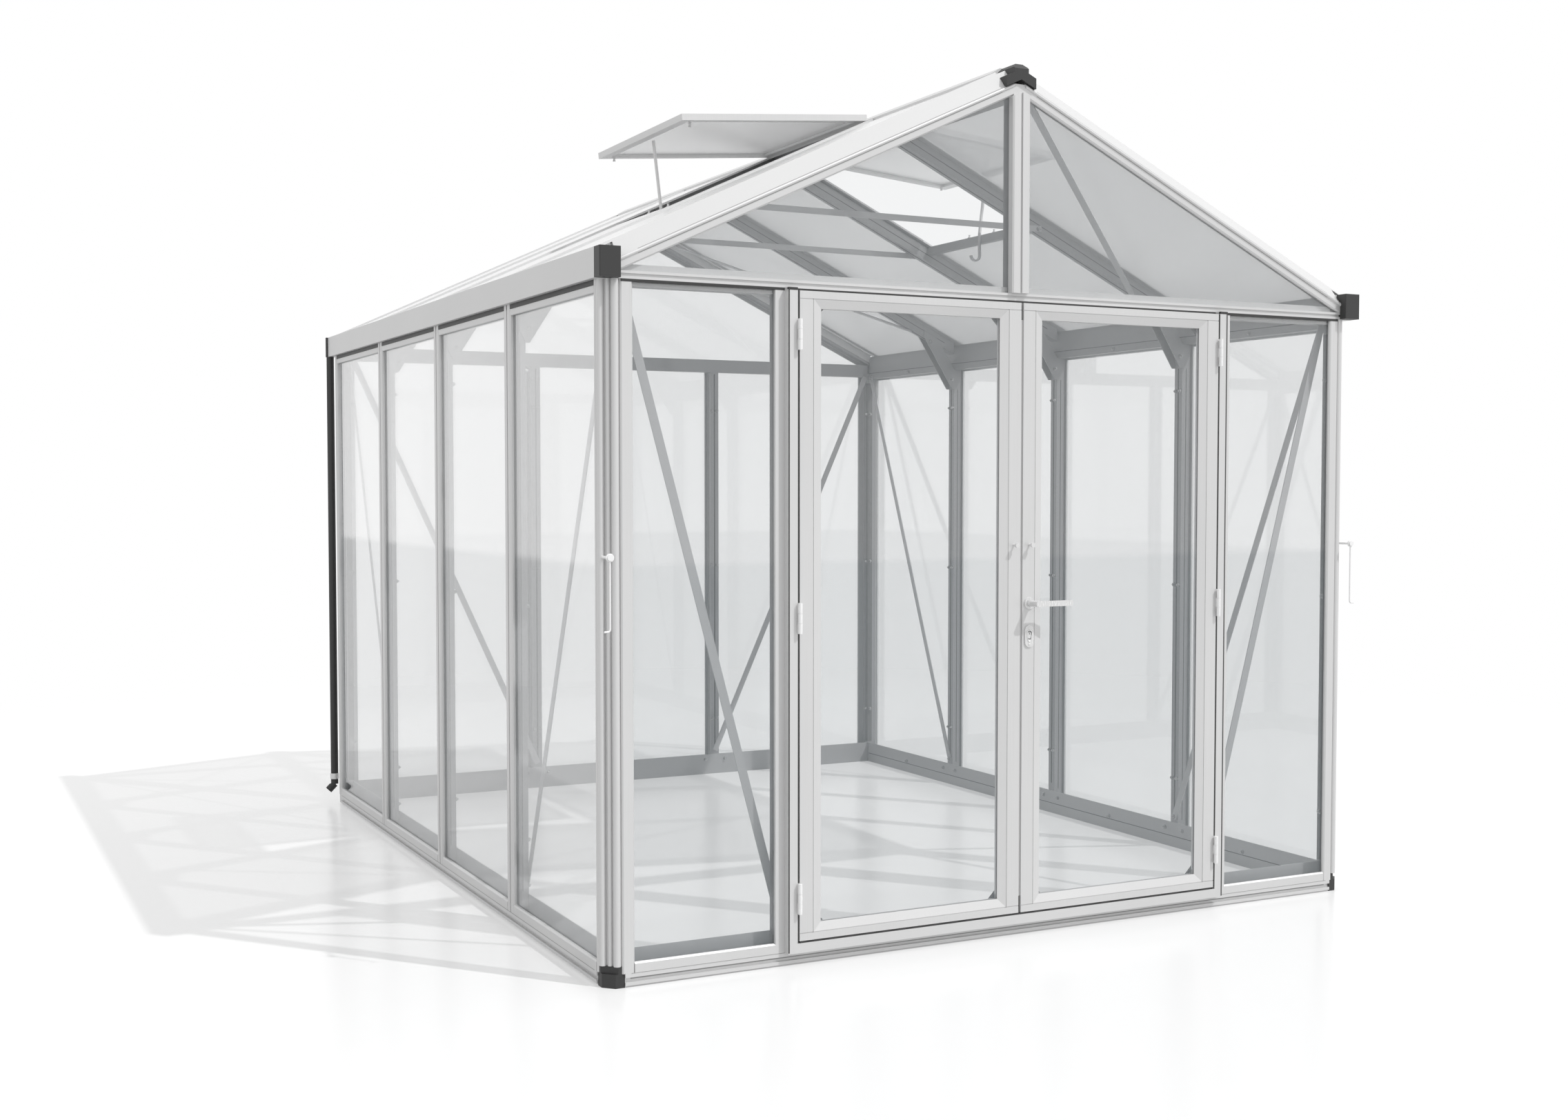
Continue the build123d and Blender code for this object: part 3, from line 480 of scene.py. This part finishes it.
print("modelling helpers", [f.__name__ for f in (new_block, new_peg, soften, pick, on_top)])

# %% [markdown]
# Like pieces are joined, so that one name in the list of objects stands for one kind of part. A finished
# piece is then settled: it gets its finish, its slot and the body that it moves with.


# %% Joining, settling and copying
def join(pieces, name):
    bpy.ops.object.select_all(action="DESELECT")
    for piece in pieces:
        piece.select_set(True)
    bpy.context.view_layer.objects.active = pieces[0]
    bpy.ops.object.join()
    piece = bpy.context.object
    piece.name = name
    return piece


def settle(piece, body, slot, finish=None):
    """Gives a finished piece its finish and the body that it moves with."""
    piece.data.materials.clear()
    piece.data.materials.append(finish or finishes[slot])
    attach(piece, body)
    print(piece.name, len(piece.data.polygons), "faces on", body)


def strips(name, boxes, rounding, body, slot, finish=None):
    """Strips between pairs of corners, with rounded edges, joined to one piece."""
    piece = join([soften(new_block(low, high), rounding) for low, high in boxes], name)
    settle(piece, body, slot, finish)


def copies(model, name, places):
    """Copies of a model, each with its own mesh, set at a place, facing along a normal, and joined."""
    made = []
    for place, normal in places:
        twin = model.copy()
        twin.data = model.data.copy()
        bpy.context.collection.objects.link(twin)
        twin.location = place
        twin.rotation_euler = Vector(normal).to_track_quat("Z", "Y").to_euler()
        made.append(twin)
    bpy.ops.object.select_all(action="DESELECT")
    for twin in made:
        twin.select_set(True)
    bpy.context.view_layer.objects.active = made[0]
    bpy.ops.object.transform_apply(location=True, rotation=True, scale=True)
    return join(made, name)


def both_sides(boxes):
    """The boxes, and the same boxes mirrored to the right of the house."""
    mirrored = [((-high[0], low[1], low[2]), (-low[0], high[1], high[2])) for low, high in boxes]
    return boxes + mirrored


def stretches(start, end, places, half):
    """What is left of a line between things of one half width at some places."""
    stops = [start]
    for place in places:
        stops += [place - half, place + half]
    stops.append(end)
    return list(zip(stops[0::2], stops[1::2]))


print("joining helpers", [f.__name__ for f in (join, settle, strips, copies, both_sides, stretches)])

# %% [markdown]
# Black rubber closes the head of every wall. It shows as one dark line under the eave lips, right across
# the posts, and along the sides under the gutters. A strip of rounded rubber a wall is enough, and the two
# short tabs stand where the flat door posts come forward.

# %% Head seals
lip_x, lip_y = 1.280, 1.545
eave = 1.846
seal_low, side_seal_low = 1.8385, 1.832
seal_proud, seal_depth = 0.001, 0.007
front_seal_end, side_seal_end = 1.228, 1.485
post_inner, post_outer = 0.727, 0.756
flat_y = 1.567
seal_rounding = 0.001

front_seal = ((-front_seal_end, -lip_y - seal_proud, seal_low), (front_seal_end, -lip_y + seal_depth, eave))
rear_seal = ((-front_seal_end, lip_y - seal_depth, seal_low), (front_seal_end, lip_y + seal_proud, eave))
side_seal = ((-lip_x + seal_proud, -side_seal_end, side_seal_low), (-lip_x + seal_depth, side_seal_end, eave))
head_tab = ((-post_outer, -flat_y - seal_proud, seal_low), (-post_inner, -flat_y + seal_depth, eave))
seals = [front_seal, rear_seal] + both_sides([side_seal, head_tab])
strips("head_seals", seals, seal_rounding, "house", "black_plastic")

# %% [markdown]
# On the side walls a pale trim holds the top edge of each pane, as the bottom trims do on the base. It fills
# the bays between the bar caps, so the bays' edges are worked out from the bars.

# %% Top trims of the side panes
trim_low = 1.813
trim_proud, trim_depth = 0.0005, 0.009
trim_rounding = 0.002
bar_places = (-0.762, 0.0, 0.762)
cap_half = 0.0295
corner_end = 1.483

top_trims = [((-lip_x + trim_proud, low, trim_low), (-lip_x + trim_depth, high, side_seal_low))
             for low, high in stretches(-corner_end, corner_end, bar_places, cap_half)]
strips("pane_top_trims", both_sides(top_trims), trim_rounding, "house", "frame_aluminium", lengthwise_metal)

# %% [markdown]
# The gaps beside the hinges and over the sill look dark, so black strips fill them on the fixed frame as
# painted shade, a little short of the leaves so that these swing free.

# %% Door gaps painted dark
door_low, door_high = 0.070, 1.838
gap_outer, gap_inner = post_inner, 0.7225
gap_front, gap_back, sill_back = -1.5662, -1.552, -1.556
hinge_heights = (0.188, 0.954, 1.720)
hinge_room = 0.0425
sill_half, sill_low, sill_high = 0.720, 0.064, 0.0688
gap_rounding = 0.0008

hinge_gap_shades = [((-gap_outer, gap_front, low), (-gap_inner, gap_back, high))
               for low, high in stretches(door_low, door_high, hinge_heights, hinge_room)]
sill_gap_shade = ((-sill_half, gap_front, sill_low), (sill_half, sill_back, sill_high))
# Black strips in the door gaps: painted shade.
strips("door_gap_shades", both_sides(hinge_gap_shades) + [sill_gap_shade], gap_rounding, "house", "black_plastic")

# %% [markdown]
# A grey strip on the right leaf covers the slit where the leaves meet. It stops short of the top and bottom
# bands, and there black blocks fill the slit: painted shade for the dark gap.

# %% Meeting strip
strip_left, strip_right = -0.0025, 0.0042
strip_foot, strip_head = 0.118, 1.790
strip_front, block_front, strip_back = -1.562, -1.558, -1.548
block_room = 0.001

meeting = ((strip_left, strip_front, strip_foot), (strip_right, strip_back, strip_head))
strips("meeting_strip", [meeting], gap_rounding, "right_door", "frame_aluminium")
# Black blocks at both ends of the slit: painted shade.
block_ends = ((door_low + block_room, strip_foot), (strip_head, door_high - block_room))
blocks = [((strip_left, block_front, low), (strip_right, strip_back, high)) for low, high in block_ends]
strips("meeting_blocks", blocks, gap_rounding, "right_door", "black_plastic")

# %% [markdown]
# Extruded bars have a slot down the inner face, which takes the bolt heads, and the flat door posts have a
# narrow groove in front. Cutting them into the imported bars would change those, so each slot is a thin dark
# fillet laid on its face, which paints the shade in the slot.

# %% Bar slots
slot_half, slot_rise = 0.003, 0.0006
slot_foot, side_slot_head, rear_slot_head = 0.120, 1.735, 1.820
slot_rounding = 0.0003
inner_x, inner_y = 1.229, 1.494
rear_places = (-0.424, 0.424)
post_groove_inset, post_groove_end, post_groove_foot = 0.0005, 0.0045, 0.040


def across_x(x, y_low, y_high, z_low, z_high):
    """A thin strip laid on a face that looks along X."""
    return ((x - slot_rise, y_low, z_low), (x + slot_rise, y_high, z_high))


def across_y(y, x_low, x_high, z_low, z_high):
    """A thin strip laid on a face that looks along Y."""
    return ((x_low, y - slot_rise, z_low), (x_high, y + slot_rise, z_high))


side_slots = [across_x(-inner_x, place - slot_half, place + slot_half, slot_foot, side_slot_head)
              for place in bar_places]
rear_slots = [across_y(inner_y, place - slot_half, place + slot_half, slot_foot, rear_slot_head)
              for place in rear_places]
post_groove = across_y(-flat_y, -post_outer + post_groove_inset, -post_outer + post_groove_end,
                       post_groove_foot, seal_low)
slots = both_sides(side_slots + [post_groove]) + rear_slots
strips("bar_slots", slots, slot_rounding, "house", "frame_aluminium", slot_shade)

# %% [markdown]
# Rafters have the same slot underneath, and the verge shows two fine shaded lines beside its round bead; dark
# strips paint the shade of both. These run down the pitch, so a level strip is made first, then turned to the
# slope and let down under the roof plane.

# %% Rafter slots and verge lines
rafter_top, rafter_foot = 0.060, 1.180
rafter_depth = 0.055
bead_depths = (0.0405, 0.0515)
line_half = 0.0007
line_rounding = 0.0002


def sloped_strip(side, y, depth, half_width, half_rise):
    """A strip along the roof slope of one side, at a depth under the roof plane."""
    middle = (rafter_top + rafter_foot) / 2
    half_length = (rafter_foot - rafter_top) / cos(roof_pitch) / 2
    low, high = (-half_length, -half_width, -half_rise), (half_length, half_width, half_rise)
    strip = soften(new_block(low, high), line_rounding)
    strip.location = (side * middle, y, roof_peak - middle * roof_slope - depth / cos(roof_pitch))
    strip.rotation_euler = (0, side * roof_pitch, 0)
    bpy.ops.object.transform_apply(location=True, rotation=True, scale=True)
    return strip


def sloped_strips(name, places, half_width, half_rise, finish):
    """Strips down both slopes, each at a place along the house and a depth, joined to one piece."""
    made = [sloped_strip(side, y, depth, half_width, half_rise) for side in (-1, 1) for y, depth in places]
    settle(join(made, name), "house", "frame_aluminium", finish)


under_rafters = [(place, rafter_depth) for place in bar_places]
sloped_strips("rafter_slots", under_rafters, slot_half, slot_rise, slot_shade)
beside_beads = [(end * lip_y, depth) for end in (-1, 1) for depth in bead_depths]
sloped_strips("verge_lines", beside_beads, slot_rise, line_half, line_shade)

# %% [markdown]
# Outside, a shallow groove runs round the base rails, and a dark strip paints its shade; a fine dark line
# marks the joint where they meet the wall. Both go round all four sides, so one pass lays the groove and the
# next the line.

# %% Base lines
groove_low, groove_high, groove_inset = 0.0205, 0.0255, 0.008
base_top = 0.0370
side_end, front_end = 1.470, 1.205

base_lines = []
for low, high, inset in ((groove_low, groove_high, groove_inset),
                         (base_top - line_half, base_top + line_half, 0.0)):
    face_x, face_y = lip_x - inset, lip_y - inset
    base_lines += both_sides([across_x(-face_x, -side_end, side_end, low, high)])
    base_lines += [across_y(end * face_y, -front_end, front_end, low, high) for end in (-1, 1)]
strips("base_lines", base_lines, line_rounding, "house", "frame_aluminium", line_shade)

# %% [markdown]
# Inside, the flanks of bars and rafters are grooved too, and so are the side eaves and the flange of the base.
# Thin dark strips again paint the shade in the grooves, which makes a plain box read as an extruded profile.

# %% Grooves inside
body_half = 0.020
groove_x, groove_y, groove_half = 1.2475, 1.5125, 0.0013
groove_foot, rafter_groove_depth = 0.100, 0.032
flange_x, flange_y, flange_end = 1.226, 1.491, 1.480
flange_line = (0.038, 0.041)

side_flanks = [place + face * body_half for place in bar_places for face in (-1, 1)]
rear_flanks = [place + face * body_half for place in rear_places for face in (-1, 1)]
side_grooves = [across_y(flank, -groove_x - groove_half, -groove_x + groove_half, groove_foot, side_slot_head)
                for flank in side_flanks]
rear_grooves = [across_x(flank, groove_y - groove_half, groove_y + groove_half, groove_foot, rear_slot_head)
                for flank in rear_flanks]
eave_groove = across_x(-inner_x, -inner_y, inner_y, eave - groove_half, eave + groove_half)
flange_groove = across_x(-flange_x, -flange_end, flange_end, *flange_line)
grooves = both_sides(side_grooves + [eave_groove, flange_groove]) + rear_grooves
strips("inside_grooves", grooves, line_rounding, "house", "frame_aluminium", slot_shade)
beside_rafters = [(flank, rafter_groove_depth) for flank in side_flanks]
sloped_strips("rafter_grooves", beside_rafters, slot_rise, groove_half, slot_shade)

# %% [markdown]
# The inner corner of a corner post is an open channel between two legs. Two strips that meet at the corner
# stand for it, in a shade between the metal and a slot, because light still reaches into it.

# %% Corner channels
channel_x, channel_y, channel_reach = 1.222, 1.487, 0.022
channel_low, channel_high = 0.095, 1.800

channels = []
for end in (-1, 1):
    face_y = end * channel_y
    near, far = sorted((face_y, end * (channel_y + channel_reach)))
    channels.append(across_x(-channel_x, near, far, channel_low, channel_high))
    channels.append(across_y(face_y, -channel_x - channel_reach, -channel_x, channel_low, channel_high))
strips("corner_channels", both_sides(channels), line_rounding, "house", "frame_aluminium", channel_shade)

# %% [markdown]
# The stiles of a door leaf have a bead, which shows as one fine shaded line down each. A dark strip laid on
# the stile paints that shade. It lies nearly flush, so that it looks like a line and not like a bar.

# %% Bead lines of the doors
leaf_edges = (0.004, 0.721)
bead_line = 0.042
band_top, band_foot = 1.818, 0.090
bead_rounding = 0.0001
doors = (("left_door", -1), ("right_door", 1))

for body, side in doors:
    lines = []
    for x in (leaf_edges[0] + bead_line, leaf_edges[1] - bead_line):
        lines.append(((side * x - line_half, -flat_y - slot_rise / 2, band_foot),
                      (side * x + line_half, -flat_y + slot_rise, band_top)))
    strips(body + "_lines", lines, bead_rounding, body, "frame_aluminium", line_shade)

# %% [markdown]
# A door leaf is stiffened by a three-cornered plate behind each inner corner of its frame. A cylinder of
# three sides, squashed to a right angle, is such a plate, and it is turned to each corner in turn. Its radius
# follows from the legs, which are longer than it by the root of one and a half.

# %% Door corner plates
opening_x = (0.073, 0.652)
opening_z = (0.116, 1.792)
plate_leg, plate_lap, plate_thickness = 0.034, 0.010, 0.010
plate_y = -1.5402
plate_rounding = 0.0008
three_sided = plate_leg / sqrt(1.5)
reach = three_sided / sqrt(3) / sqrt(2) - plate_lap


def corner_plate(x, z, towards_x, towards_z):
    """A plate in the corner at x and z, with its long edge towards the middle of the leaf."""
    bpy.ops.object.select_all(action="DESELECT")
    bpy.ops.mesh.primitive_cylinder_add(vertices=3, radius=three_sided, depth=plate_thickness)
    plate = bpy.context.object
    plate.scale = (1, 1 / sqrt(3), 1)
    bpy.ops.object.transform_apply(scale=True)
    soften(plate, plate_rounding)
    plate.location = (x + towards_x * reach, plate_y, z + towards_z * reach)
    plate.rotation_euler = (radians(90), atan2(-towards_x, -towards_z), 0)
    bpy.ops.object.transform_apply(location=True, rotation=True)
    return plate


for body, side in doors:
    plates = [corner_plate(side * x, z, towards_x, towards_z)
              for x, towards_x in zip(opening_x, (side, -side))
              for z, towards_z in zip(opening_z, (1, -1))]
    # The plates take the slots' dark finish: painted shade for plates tucked in the frame's corners.
    settle(join(plates, body + "_corner_plates"), body, "frame_aluminium", slot_shade)

# %% [markdown]
# Bolts are everywhere inside: three pairs up every bar and corner post, a row along the base and the eaves,
# and more through the knee plates, ties and brace ends. They are all one model: a washer, a nut and the end
# of the stud, drawn out of an eight-sided cylinder by inset and extrude. It has few enough faces to be copied
# more than a hundred times.

# %% Bolt
washer_radius, washer_height = 0.0085, 0.0015
nut_step, nut_height = 0.0022, 0.005
stud_step, stud_height = 0.0028, 0.004

bolt = new_peg(sides=8, radius=washer_radius, height=washer_height)
pick(bolt, on_top)
for step, height in ((nut_step, nut_height), (stud_step, stud_height)):
    bpy.ops.mesh.inset(thickness=step)
    bpy.ops.mesh.extrude_region_move(TRANSFORM_OT_translate={"value": (0, 0, height)})
bpy.ops.object.mode_set(mode="OBJECT")
print("bolt", len(bolt.data.polygons), "faces")

# %% [markdown]
# The places follow from the bars. Heights and pitches are typed in once, and each list holds a place and
# the direction that the bolt faces. The side walls and the roof come first, left and right alike.

# %% Places of bolts along the sides
bolt_heights = (0.253, 0.956, 1.654)
pair_half, foot_half = 0.012, 0.048
foot_height, row_height, eave_height = 0.066, 0.050, 1.833
bay_middles = (-1.128, -0.381, 0.381, 1.128)
knee_face = 0.024
knee_places = ((1.217, 1.778), (1.105, 1.938))
tie_x, tie_height = 0.600, 2.190
tie_ends = ((bar_places[0] - knee_face, -1), (bar_places[1] + knee_face, 1))
brace_ends = ((bar_places[-1], 0.112), (1.469, 1.822))

bolts = {"bar_bolts": [], "base_bolts": [], "eave_bolts": [], "plate_bolts": [], "corner_bolts": []}
for side in (-1, 1):
    inwards = (-side, 0, 0)
    for place in bar_places:
        bolts["bar_bolts"] += [((side * inner_x, place + half, height), inwards)
                               for height in bolt_heights for half in (-pair_half, pair_half)]
        bolts["base_bolts"] += [((side * flange_x, place + half, foot_height), inwards)
                                for half in (-foot_half, foot_half)]
        bolts["plate_bolts"] += [((side * x, place + face * knee_face, z), (0, face, 0))
                                 for face in (-1, 1) for x, z in knee_places]
    bolts["base_bolts"] += [((side * flange_x, middle, row_height), inwards) for middle in bay_middles]
    bolts["eave_bolts"] += [((side * inner_x, middle, eave_height), inwards) for middle in bay_middles]
    bolts["plate_bolts"] += [((side * tie_x, y, tie_height), (0, face, 0)) for y, face in tie_ends]
    bolts["plate_bolts"] += [((side * flange_x, end * y, z), inwards)
                             for end in (-1, 1) for y, z in brace_ends]
print({name: len(places) for name, places in bolts.items()})

# %% [markdown]
# The rear wall has bars of its own, the eave beams have bolts at both ends of the house, and a corner post
# has bolts on each side of its channel. With these the lists are whole, and the model is copied to every
# place.

# %% Bolts in place
rear_middles = (-0.848, 0.0, 0.848)
end_eave_height = 1.856
channel_middle = channel_reach / 2

for place in rear_places:
    bolts["bar_bolts"] += [((place + half, inner_y, height), (0, -1, 0))
                           for height in bolt_heights for half in (-pair_half, pair_half)]
    bolts["base_bolts"] += [((place + half, flange_y, foot_height), (0, -1, 0))
                            for half in (-foot_half, foot_half)]
for middle in rear_middles:
    bolts["base_bolts"].append(((middle, flange_y, row_height), (0, -1, 0)))
    bolts["eave_bolts"] += [((middle, end * inner_y, end_eave_height), (0, -end, 0)) for end in (1, -1)]
for side, end in ((-1, -1), (-1, 1), (1, -1), (1, 1)):
    for height in bolt_heights:
        on_leg = (side * channel_x, end * (channel_y + channel_middle), height)
        on_other_leg = (side * (channel_x + channel_middle), end * channel_y, height)
        bolts["corner_bolts"] += [(on_leg, (-side, 0, 0)), (on_other_leg, (0, -end, 0))]
for name, places in bolts.items():
    settle(copies(bolt, name, places), "house", "bright_fittings", bolt_metal)
bpy.data.objects.remove(bolt)

# %% [markdown]
# The keyhole has a raised rim, round above and narrow below. A torus gives the round part, and moving its
# lower half down draws it out to the keyhole's shape.

# %% Keyhole rim
lock_x, lock_front, key_height = 0.027, -1.571, 0.885
rim_radius, rim_thickness = 0.0095, 0.0022
rim_drop, keyhole_narrowing = 0.014, 0.72
facing_front = (radians(90), 0, 0)

bpy.ops.object.select_all(action="DESELECT")
rim_middle = (lock_x, lock_front, key_height)
bpy.ops.mesh.primitive_torus_add(major_radius=rim_radius, minor_radius=rim_thickness, major_segments=24,
                                 minor_segments=8, location=rim_middle, rotation=facing_front)
rim = bpy.context.object
bpy.ops.object.transform_apply(location=True, rotation=True)
pick(rim, lambda centre, normal: centre.z < key_height)
bpy.ops.transform.resize(value=(keyhole_narrowing, 1, 1), center_override=rim_middle)
bpy.ops.transform.translate(value=(0, 0, -rim_drop))
bpy.ops.object.mode_set(mode="OBJECT")
bpy.ops.object.shade_smooth()
rim.name = "keyhole_rim"
settle(rim, "right_door", "bright_fittings")

# %% [markdown]
# Two domed screws hold the lock plate. One screw is a low cylinder whose top is inset and raised in one go,
# and the other is a copy.

# %% Lock screws
screw_radius, screw_height, dome_step = 0.0042, 0.0012, 0.0015
screw_heights = (0.853, 0.901)

screw = new_peg(sides=16, radius=screw_radius, height=screw_height)
pick(screw, on_top)
bpy.ops.mesh.inset(thickness=dome_step, depth=dome_step / 2)
bpy.ops.object.mode_set(mode="OBJECT")
screw_places = [((lock_x, lock_front, height), (0, -1, 0)) for height in screw_heights]
settle(copies(screw, "lock_screws", screw_places), "right_door", "bright_fittings")
bpy.data.objects.remove(screw)

# %% [markdown]
# The key cylinder fills the rim in the same outline: a round barrel whose lower faces are drawn down and in.
# Behind it a black block paints the shade in the hole, and a dark sliver on the barrel's face paints the shade
# in the slot for the key.

# %% Key cylinder and keyhole
barrel_radius, barrel_front, barrel_length, barrel_drop = 0.0055, -1.5705, 0.004, 0.010
barrel_belly = 0.001
floor_half, floor_front, floor_back = 0.0078, -1.5677, -1.5668
floor_low, floor_high = 0.8655, 0.8928
key_half, key_proud, key_depth = 0.0009, 0.0002, 0.001
key_low, key_high = 0.8815, 0.8885

bpy.ops.object.select_all(action="DESELECT")
barrel_middle = (lock_x, barrel_front + barrel_length / 2, key_height)
bpy.ops.mesh.primitive_cylinder_add(vertices=24, radius=barrel_radius, depth=barrel_length,
                                    location=barrel_middle, rotation=facing_front)
barrel = bpy.context.object
bpy.ops.object.transform_apply(location=True, rotation=True)
pick(barrel, lambda centre, normal: centre.z < key_height - barrel_belly and abs(normal.y) < facing_least)
bpy.ops.transform.resize(value=(keyhole_narrowing, 1, 1), center_override=(lock_x, barrel_front, key_height))
bpy.ops.transform.translate(value=(0, 0, -barrel_drop))
bpy.ops.object.mode_set(mode="OBJECT")
barrel.name = "key_cylinder"
settle(barrel, "right_door", "bright_fittings")
keyhole_shade_block = ((lock_x - floor_half, floor_front, floor_low), (lock_x + floor_half, floor_back, floor_high))
key_slot_shade = ((lock_x - key_half, barrel_front - key_proud, key_low),
            (lock_x + key_half, barrel_front + key_depth, key_high))
strips("keyhole", [keyhole_shade_block, key_slot_shade], line_rounding, "right_door", "black_plastic")

# %% [markdown]
# The roof vents have buffers under their free corners, and their cross bars carry the pins that the stays
# drop on. Both are small turned parts: a cylinder, drawn in by inset and pulled out again by extrude.

# %% Vent buffers and stay pins
vent_hinge_x, vent_hinge_z = 0.050, 2.523
vent_tilt = radians(5.1)
vent_frame_depth = 0.020
vent_corner_x, vent_corner_places, buffer_sink = 0.663, (-0.705, -0.057), 0.0005
pin_x, pin_foot, pin_places = 0.634, 2.2208, (-0.300, -0.462)
tip_flare = 1.5


def turned_peg(radius, height, neck, tip):
    """A round peg standing on the origin: a foot, a neck and a wider tip."""
    peg = new_peg(sides=12, radius=radius, height=height)
    pick(peg, on_top)
    bpy.ops.mesh.inset(thickness=neck)
    bpy.ops.mesh.extrude_region_move(TRANSFORM_OT_translate={"value": (0, 0, height)})
    bpy.ops.mesh.extrude_region_move(TRANSFORM_OT_translate={"value": (0, 0, tip)})
    bpy.ops.transform.resize(value=(tip_flare, tip_flare, 1))
    bpy.ops.object.mode_set(mode="OBJECT")
    return peg


underside = (vent_hinge_z - (vent_corner_x - vent_hinge_x) * tan(vent_tilt)
             - vent_frame_depth / cos(vent_tilt))
buffer_model = turned_peg(radius=0.005, height=0.005, neck=0.0015, tip=0.005)
buffers = [((side * vent_corner_x, y, underside + buffer_sink), (0, 0, -1))
           for side in (-1, 1) for y in vent_corner_places]
settle(copies(buffer_model, "vent_buffers", buffers), "house", "frame_aluminium", flat_bar_metal)
bpy.data.objects.remove(buffer_model)

pin_model = turned_peg(radius=0.006, height=0.004, neck=0.003, tip=0.004)
pins = [((side * pin_x, y, pin_foot), (0, 0, 1)) for side in (-1, 1) for y in pin_places]
settle(copies(pin_model, "stay_pins", pins), "house", "bright_fittings")
bpy.data.objects.remove(pin_model)

# %% [markdown]
# The black plate on the rear end of each gutter stands a little proud of the gutter's face, flush with the
# downpipe under it. A rounded block along that edge gives the rim.

# %% Gutter plate rims
plate_rim_low = (-1.3015, 1.569, 1.845)
plate_rim_high = (-1.2940, 1.584, 1.926)
plate_rim_rounding = 0.0015
plate_rims = both_sides([(plate_rim_low, plate_rim_high)])
strips("gutter_plate_rims", plate_rims, plate_rim_rounding, "house", "black_plastic")

# %% [markdown]
# Each downpipe stands in a pale collar above its shoe. A short cylinder round the pipe, with its rims
# bevelled, is all that shows of it.

# %% Pipe collars
pipe_x, pipe_y = 1.286, 1.569
collar_radius, collar_rounding = 0.018, 0.002
collar_low, collar_high = 0.092, 0.116

collar = new_peg(sides=32, radius=collar_radius, height=collar_high - collar_low)
pick(collar, lambda centre, normal: abs(normal.z) > facing_least)
bpy.ops.mesh.bevel(offset=collar_rounding, segments=2, affect="EDGES")
bpy.ops.object.mode_set(mode="OBJECT")
collar_places = [((side * pipe_x, pipe_y, collar_low), (0, 0, 1)) for side in (-1, 1)]
settle(copies(collar, "pipe_collars", collar_places), "house", "bright_fittings")
bpy.data.objects.remove(collar)

# %% [markdown]
# The studio is white. The world shows white to the camera, to reflections and through glass, and lights the
# house more gently. A small sun from the right draws the pale shadows of the frame.

# %% World and sun
ambient_level = 0.75
sun_level, sun_softness = 1.9, 0.8
sun_place = (4, -4, 6)
sun_turn = (radians(38.3), 0, radians(39.6))


def white_rays(finish):
    """One for rays that should meet a white studio: from the camera, from gloss and through glass."""
    seen = [finish.node("ShaderNodeLightPath", {}, {}, ray)
            for ray in ("Is Camera Ray", "Is Glossy Ray", "Is Transmission Ray")]
    return (seen[0] + seen[1] + seen[2]) > 0.5


world = bpy.data.worlds.new("white_studio")
bpy.context.scene.world = world
world.use_nodes = True
sky = Finish("white_studio", world.node_tree)
background = world.node_tree.nodes["Background"]
sky.feed(background.inputs["Strength"], white_rays(sky) * (1 - ambient_level) + ambient_level)
sky.feed(background.inputs["Color"], white)

bpy.ops.object.light_add(type="SUN", location=sun_place, rotation=sun_turn)
sun = bpy.context.object
sun.data.energy = sun_level
sun.data.angle = radians(sun_softness)
print("world", world.name, "sun", sun.name)

# %% [markdown]
# The floor takes the shadows. It glows a little for the camera, and wholly so far from the house, so it meets
# the white world without a line. For the light that it throws back up it is a mid grey.

# %% Floor
near_glow = 0.34
glow_start, glow_spread = 3.2, 3.0
floor_size = 120
floor_dull, floor_seen = grey(0.45), grey(0.92)
floor_roughness = 0.2

bpy.ops.mesh.primitive_plane_add(size=floor_size, location=(0, 0, 0))
floor = bpy.context.object
floor.name = "studio_floor"
paint = Finish("white_floor")
seen_white = white_rays(paint)
distance = paint.node("ShaderNodeVectorMath", {"operation": "LENGTH"}, {0: paint.spot()}, "Value")
far_share = paint.ramp(distance, glow_start, glow_start + glow_spread)
glow = paint.node("ShaderNodeEmission", {}, {"Color": white, "Strength": 1.0})
paint.shade(base_color=paint.mix(seen_white, floor_dull, floor_seen), roughness=floor_roughness)
paint.cover(seen_white * (far_share * (1 - near_glow) + near_glow), glow)
floor.data.materials.append(paint.material)
bpy.context.scene.view_settings.view_transform = "Standard"
print("floor", floor.name)
